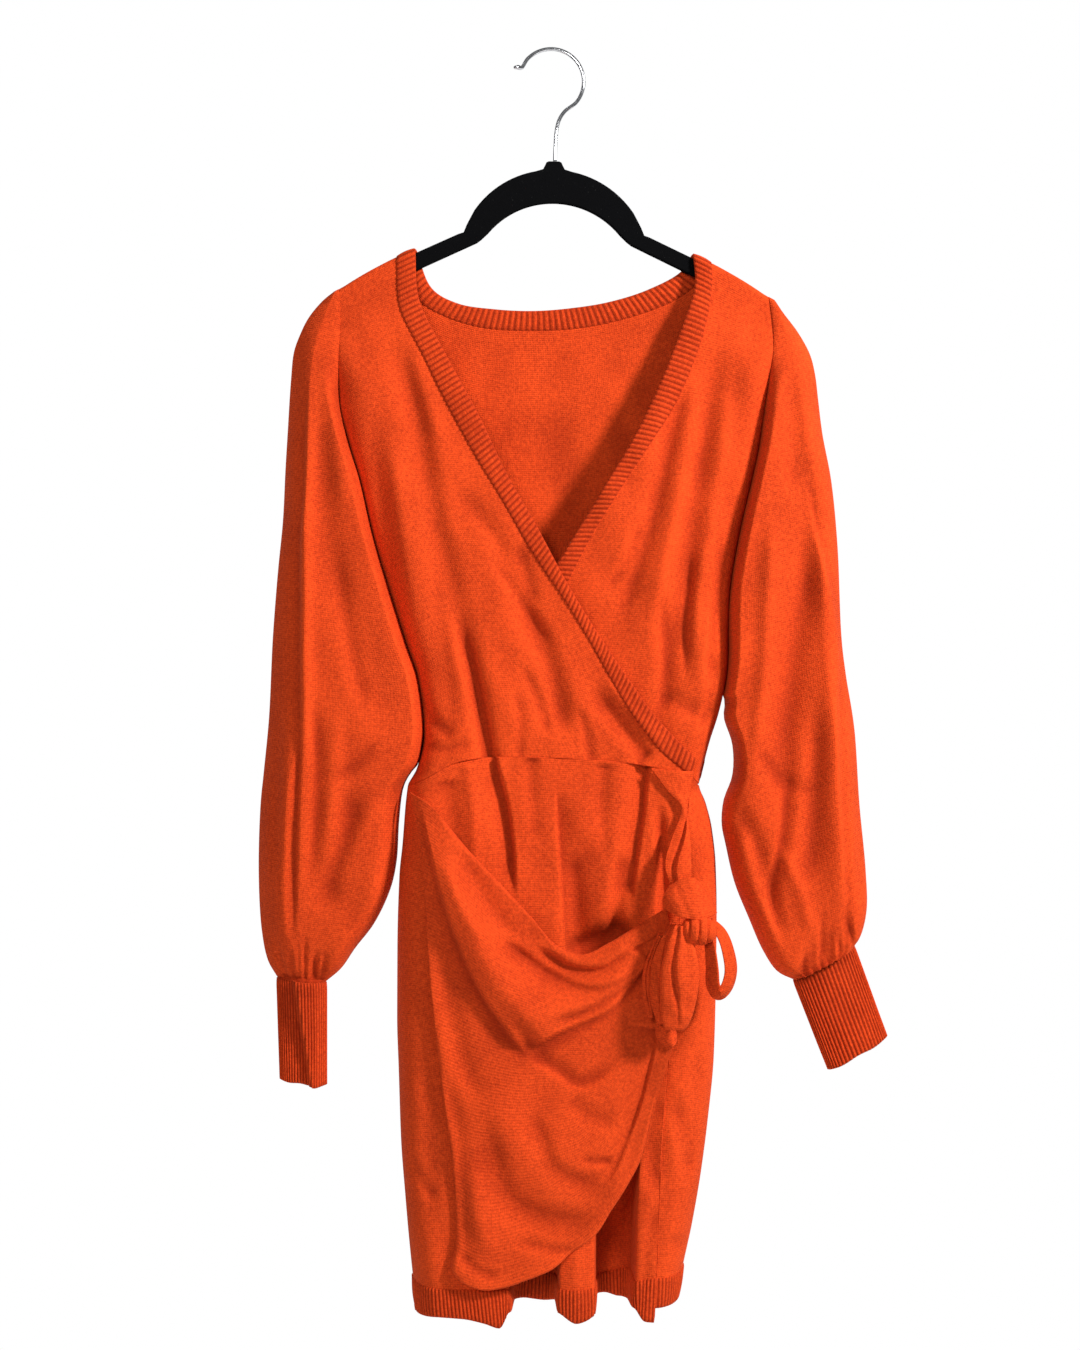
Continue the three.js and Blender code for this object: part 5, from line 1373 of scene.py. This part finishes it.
# %% Overlay
OVERLAY_TOP = [
    (-126, -650.5), (-109, -658.8), (-90.8, -677.7), (-73.7, -698.4), (-51, -722.2),
    (-20, -755.6), (2.2, -780.2), (24.8, -788), (44.9, -779.1), (60.2, -770.1),
    (80.7, -757), (96, -748),
]
OVERLAY_LEFT = [
    (-126, -650.5), (-119, -675), (-112.7, -704.9), (-109.4, -771.7), (-104.9, -827.9),
    (-98.2, -883.8), (-93.6, -919.7), (-88.5, -954.8), (-84.5, -1004.1), (-84.5, -1035.3),
    (-88.5, -1055), (-82, -1067),
]
OVERLAY_BOTTOM = [
    (-82, -1067), (-60.8, -1074.5), (-41.2, -1072.3), (-21.7, -1065.5), (-0.1, -1056.1),
    (13.6, -1044.2), (36.2, -1026.7), (48.8, -1007.1), (62.6, -985.5), (74.1, -962.3),
    (85.9, -915.4), (99.6, -870.5),
]
OVERLAY_RIGHT = [(96, -748), (100, -775), (103, -810), (99.6, -870.5)]
OVERLAY_FOLDS = [
    fold([(-112, -675), (-95, -715), (-70, -765), (-40, -815), (-14, -836), (24, -822),
          (60, -800), (88, -772)], -9, 22, 16),
    fold([(-113, -663), (-107, -688), (-95, -733), (-82, -771), (-64, -812), (-41, -847.5),
          (-22, -873)], -8, 34, 3, 0.2, 0.12),
    fold([(-20, -866), (0.5, -853), (38, -837), (50, -829), (65, -812), (81.5, -791)], -7, 22, 3,
         0.12, 0.05),
    fold([(-22, -782), (-4, -790), (13, -800), (40, -801), (61, -789), (92, -769)], 6.5, 4, 9,
         0.25, 0.02),
    fold([(-56, -767), (-33, -785), (-2, -807), (30, -818), (60, -810), (88, -786)], 6, 5, 10,
         0.25, 0.02),
    fold([(-14, -846), (20, -838), (56, -820), (88, -794)], 5, 4, 8, 0.3, 0.02),
    fold([(-22, -873), (0.5, -885), (19, -898), (36, -893), (60, -870)], 3.5, 9, 4, 0.1, 0.3),
    fold([(-86, -690), (-60, -740), (-30, -780)], 4, 8),
    fold([(-96, -700), (-80, -740), (-58, -780)], -3, 6),
    fold([(-63, -905), (-54, -950), (-39, -995), (-13, -1010), (17, -1014), (40, -1006)], 5,
         10, 16),
    fold([(-21, -915), (-10, -945), (-2, -966), (22, -980), (47, -977)], 4, 7, 12),
    fold([(20, -962), (36, -963), (51, -964)], 2.4, 4),
    fold([(-37, -1031), (-2, -1038), (24, -1042)], 2.4, 5),
    fold([(88, -850), (84, -870), (72.4, -914), (53.6, -964), (38, -990)], 4.5, 1.8, 16,
         0.05, 0.3),
    fold([(-100, -780), (-90, -830), (-78, -880), (-60, -920)], 3.5, 10),
    fold([(-60, -905), (-20, -950), (40, -965), (80, -900)], -4, 24, 30),
    fold([(-96, -880), (-84, -930), (-78, -1000), (-76, -1060)], 3.0, 8),
    fold([(-72, -960), (-66, -1010), (-50, -1050)], -2.4, 9),
    fold([(-82, -1040), (-66, -1056), (-46, -1062)], 2.4, 5),
    fold([(10, -905), (30, -925), (56, -930)], 2.6, 9),
    fold([(98, -830), (88, -870), (74, -915)], 2.4, 5, start=0.05),
]


def overlay_grid():
    to_knot = OVERLAY_TOP[-1]
    over_at_seam, more_inside, least_over = 9, 3.5, 3.5
    pull, pull_reach = 14, 45
    knot_depth, edge_depth, knot_from = -52.5, -46, 60

    def depth(x, z, near):
        over = over_at_seam + more_inside * round_off(near["left"], 40)
        from_knot = np.hypot(x - to_knot[0], z - to_knot[1])
        pulled = pull * np.exp(-((from_knot / pull_reach) ** 2))
        sunk = fold_depth(OVERLAY_FOLDS, x, z) + 0.9 * ripples(x, z, 50, 17)
        sunk = np.minimum(sunk, over - least_over)
        free = body_front(x, z) - over - pulled + sunk
        free = mix(free, np.maximum(free, knot_depth), ease((x - 50) / 24))
        turned = round_off(near["top"], 9) * round_off(near["left"], 5)
        turned = turned * round_off(near["bottom"], 4)
        close = np.maximum(skirt_front_depth(x, z), body_front(x, z)) - 3.0
        close = np.minimum(close, np.maximum(free, edge_depth))
        held = np.maximum(turned, ease((x - knot_from) / 30))
        return mix(close, free, np.where(x > knot_from, held, turned))

    return sheet_grid(spline(OVERLAY_LEFT), spline(OVERLAY_RIGHT), depth, fractions(170, 0.4),
                      fractions(150, 0.45), top=spline(OVERLAY_TOP), bottom=spline(OVERLAY_BOTTOM))


add_cloth("draped_overlay", overlay_grid(), "overlay")

# %% [markdown]
# The bow is a knot with four soft loops and one end. Three loops are strips of jersey that go
# down in front, turn at the tip and come up behind, narrow and pleated where the knot grips
# them. The fourth hangs open like a ring. The knot is a gathered turn with a fold over it.

# %% Bow loops
LOOP_WIDTH = smooth_through(np.array([0, 0.2, 0.5, 0.8, 0.94, 1.0]),
                            np.array([0.34, 0.74, 1.0, 0.86, 0.66, 0.46]))


def loop_grid(root, tip, half_width, middle, half_depth, bow, crease_at, twist, seed):
    """Points down the front leg, round the tip and up the back leg; bow curves it sideways."""
    root, tip = np.array(root, float), np.array(tip, float)
    length = np.linalg.norm(tip - root)
    way = (tip - root) / length
    across = np.array([-way[1], way[0]])
    angle = np.linspace(0, np.pi, 72)[:, None]
    s = np.linspace(-1, 1, 33)[None, :]
    share = np.sin(angle)
    leg = np.sign(np.cos(angle)) * np.abs(np.cos(angle)) ** 0.55
    width = half_width * LOOP_WIDTH(share)
    sway = bow * np.sin(np.pi * share)
    x = root[0] + way[0] * length * share + across[0] * (width * s + sway)
    z = root[1] + way[1] * length * share + across[1] * (width * s + sway)
    section = np.sqrt(1 - (0.93 * s) ** 2)
    puff = half_depth * (0.45 + 0.55 * np.sin(np.pi * np.clip(share * 0.66 + 0.08, 0, 1)))
    gather = 1.1 * np.cos(s * np.pi * 2.2 + seed) * (1 - share) ** 2
    place = crease_at + 0.3 * np.sin(share * 4.4 + seed)
    crease = 2.6 * np.exp(-(((s - place) / 0.12) ** 2)) * np.sin(np.pi * share) ** 0.5
    crease = crease + 1.8 * (0.5 - ease((s - place + 0.12) / 0.24)) * np.sin(np.pi * share)
    soft = 0.9 * ripples(x, z, 24, seed)
    y = middle - leg * (puff * section - gather - crease - soft * section) + twist * s * share
    return np.stack([x, y, z], axis=-1)


def ring_grid():
    """The side loop hangs open like a ring: its strip stands on edge and bulges outward."""
    path = spline([(132, -757), (142, -768), (147.5, -783), (149.5, -800), (145, -814),
                   (138.8, -819), (134, -812), (133, -797), (131.5, -782), (129, -768)], 9)
    t = np.linspace(0, 1, len(path))
    x, z = path.T
    step_x, step_z = np.gradient(x), np.gradient(z)
    size = np.hypot(step_x, step_z)
    out_x, out_z = -step_z / size, step_x / size
    s = np.linspace(-1, 1, 27)[None, :]
    middle, half_width, round_out, lean = -66, 8.5, 5.2, 5.0
    grip = (0.55 + 0.45 * np.sin(np.pi * t) ** 0.6)[:, None]
    bulge = round_out * grip * np.cos(1.35 * s) + 0.7 * np.cos(s * 5 + 6 * t[:, None])
    away = bulge + lean * grip * (s - 0.3)
    y = middle + half_width * grip * s
    return np.stack([x[:, None] + out_x[:, None] * away, y,
                     z[:, None] + out_z[:, None] * away], axis=-1)


def make_loops():
    loops = {
        "bow_puff_inner": ((106, -760), (101, -848), 16.5, -72, 10.5, 1.5, -0.1, 1.0, 41),
        "bow_puff_outer": ((101, -761), (92.5, -845), 10.5, -63, 8, -6.0, -0.25, -2.0, 43),
        "bow_loop_thin": ((90, -770), (81.5, -840), 4.2, -59, 5.0, -7.0, 0.0, 0.0, 47),
    }
    for node, sizes in loops.items():
        add_cloth(f"{node}_soft", loop_grid(*sizes), node)
    add_cloth("bow_loop_side_soft", ring_grid(), "bow_loop_side")


make_loops()


# %% Bow end, knot and side tie
def make_tail():
    lies_at, curl, curl_from = -55.6, 5, -835

    def depth(x, z, near):
        curled = curl * (2 * near["u"] - 1) ** 2 * ease((curl_from - z) / 20)
        return lies_at + curled + 0.4 * ripples(x, z, 22, 59)

    grid = sheet_grid(spline([(86, -812), (86.5, -842), (87, -858), (97, -868.5)]),
                      spline([(100, -812), (99, -842), (104.5, -855), (104.5, -862)]),
                      depth, fractions(30, 0.2), fractions(50, 0.2))
    add_cloth("bow_end", grid, "bow_tail")


def make_knot():
    """The gathered turn: a round bead whose front is pleated down its length."""
    centre, radii, turn = (121.5, -72, -764), (15.5, 12.5, 12.5), 0.12
    rows, columns = 64, 96
    lat = np.linspace(0.02, np.pi - 0.02, rows)[:, None]
    lon = np.linspace(0, 2 * np.pi, columns, endpoint=False)[None, :]
    x = np.sin(lat) * np.cos(lon)
    y = -np.cos(lat)
    z = np.sin(lat) * np.sin(lon)
    front = ease((-y + 0.2) / 0.8)
    pleat = 1 - 0.15 * (0.5 + 0.5 * np.cos(x * 11.5 + z * 0.8 + 0.6)) ** 4 * front
    long, deep, high = (axis * radius * pleat for axis, radius in zip((x, y, z), radii))
    across = long * math.cos(turn) + high * math.sin(turn)
    up = -long * math.sin(turn) + high * math.cos(turn)
    grid = np.stack([across + centre[0], deep + centre[1], up + centre[2]], axis=-1)
    add_cloth("knot_turn", grid, "knot_wrap", closed=True)


def make_cover():
    edge_depth, rise = -58.5, 21.4

    def depth(x, z, near):
        u, v = near["u"], near["v"]
        bulge = np.sin(np.pi * mix(0.06, 0.94, u)) ** 0.7 * (0.45 + 0.55 * np.sin(np.pi / 2 * v))
        crease = 0.9 * np.exp(-(((u - 0.2 - 0.3 * v) / 0.07) ** 2)) * round_off(v, 0.4)
        return edge_depth - rise * bulge + crease + 0.5 * ripples(x, z, 24, 61)

    grid = sheet_grid(spline([(97, -727), (91.5, -737), (91.3, -746.3)]),
                      spline([(125, -727), (132, -737), (137.5, -749)]), depth,
                      fractions(60, 0.4), fractions(44, 0.2),
                      top=spline([(97, -727), (107, -721.5), (117.5, -720.2), (125, -727)]),
                      bottom=spline([(91.3, -746.3), (107.4, -752), (122, -754),
                                     (137.5, -750)]))
    add_cloth("knot_fold", grid, "knot_cover")


def make_side_tie():
    """The wrap's corner, which narrows to the seam, and the tie that runs on into the knot."""
    over, pull = 4, 20

    def depth(x, z, near):
        u, v = near["u"], near["v"]
        line = mix(0.75, 0.38, ease((v - 0.45) / 0.5))
        lap = 3.4 * ease((u - line + 0.08) / 0.12) * ease((v - 0.42) / 0.12)
        crease = 1.5 * np.exp(-(((u - line + 0.12) / 0.07) ** 2)) * ease((v - 0.42) / 0.12)
        fullness = 1.5 * np.sin(np.pi * u) + 0.6 * ripples(x, z, 26, 67)
        pulled = pull * ease((v - 0.35) / 0.65)
        return body_front(x, z) - over - pulled - fullness - lap + crease

    grid = sheet_grid(spline([(84, -630.5), (98, -649), (108, -661), (109, -668), (101, -688),
                              (95.5, -703), (94.5, -714), (98, -726)]),
                      spline([(121, -633), (117.5, -650), (115, -664), (115.5, -674),
                              (116, -695), (116, -708), (116, -716), (115.5, -724)]),
                      depth, fractions(40, 0.3), fractions(76, 0.2))
    add_cloth("side_tie_strap", grid, "side_tie")


make_tail()
make_knot()
make_cover()
make_side_tie()

# %% [markdown]


# %% [markdown]
# The studio: a pale floor far below, a world that is bright behind the dress and dim in front,
# and two lights. The key is small and stands well to the right, so that it rakes the folds and
# leaves their left sides dark. The fill is larger, weaker and near the camera.

# %% Floor, world and lights
FLOOR_RADIUS, FLOOR_HEIGHT, FLOOR_POINTS = 2.2, -2.0, 64
DIM_FRONT, BRIGHT_BEHIND = 0.13, 1.0
DRESS_MIDDLE = (0, 0, -0.6)
LIGHTS = {"key": ((1.6, -1.2, 0.6), 0.35, 79), "fill": ((-0.7, -2.6, 0.3), 0.9, 31)}


def make_stage():
    mesh = bpy.data.meshes.new("floor")
    angle = np.linspace(0, 2 * np.pi, FLOOR_POINTS, endpoint=False)
    points = np.stack([np.cos(angle) * FLOOR_RADIUS, np.sin(angle) * FLOOR_RADIUS,
                       np.full(FLOOR_POINTS, FLOOR_HEIGHT)], axis=1)
    mesh.from_pydata(points.tolist(), [], [list(range(FLOOR_POINTS))])
    floor = bpy.data.objects.new("floor", mesh)
    bpy.context.scene.collection.objects.link(floor)
    material, wire, shader = start_material("pale_floor")
    place = wire.node("ShaderNodeTexCoord", {}, {}, "Object")
    tone = place.noise(3, 2, 0.5).blend((0.9, 0.9, 0.9), (0.94, 0.94, 0.94))
    plug(material, tone, shader.inputs["Base Color"])
    shader.inputs["Roughness"].default_value = 0.8
    mesh.materials.append(material)


def make_world(front, behind):
    """Brighter behind the dress, where the camera looks, than on the side that lights its front."""
    world = bpy.data.worlds.new("pale_room")
    world.use_nodes = True
    wire = Wire(world.node_tree, None)
    way = wire.node("ShaderNodeTexCoord", {}, {}, "Generated")
    depth = wire.node("ShaderNodeSeparateXYZ", {}, {"Vector": way}, "Y")
    back = world.node_tree.nodes["Background"]
    share = wire.node("ShaderNodeMapRange", {"interpolation_type": "SMOOTHSTEP"},
                      {"Value": depth, "From Min": 0.1, "From Max": 0.75}, "Result")
    tone = share.blend((front, front, front * 1.02), (behind, behind, behind))
    world.node_tree.links.new(tone.socket, back.inputs["Color"])
    back.inputs["Strength"].default_value = 1.0
    bpy.context.scene.world = world


def add_light(name, at, size, power):
    """A round light of a diameter in metres and a power in watts, aimed at the dress."""
    data = bpy.data.lights.new(name, "AREA")
    data.shape, data.size, data.energy = "DISK", size, power
    light = bpy.data.objects.new(name, data)
    bpy.context.scene.collection.objects.link(light)
    light.location = at
    way = np.array(DRESS_MIDDLE) - np.array(at)
    light.rotation_euler = Vector(way).to_track_quat("-Z", "Y").to_euler()


make_stage()
make_world(DIM_FRONT, BRIGHT_BEHIND)
for name, (at, size, power) in LIGHTS.items():
    add_light(name, at, size, power)
bpy.context.scene.view_settings.view_transform = "Standard"
print("lights ready")
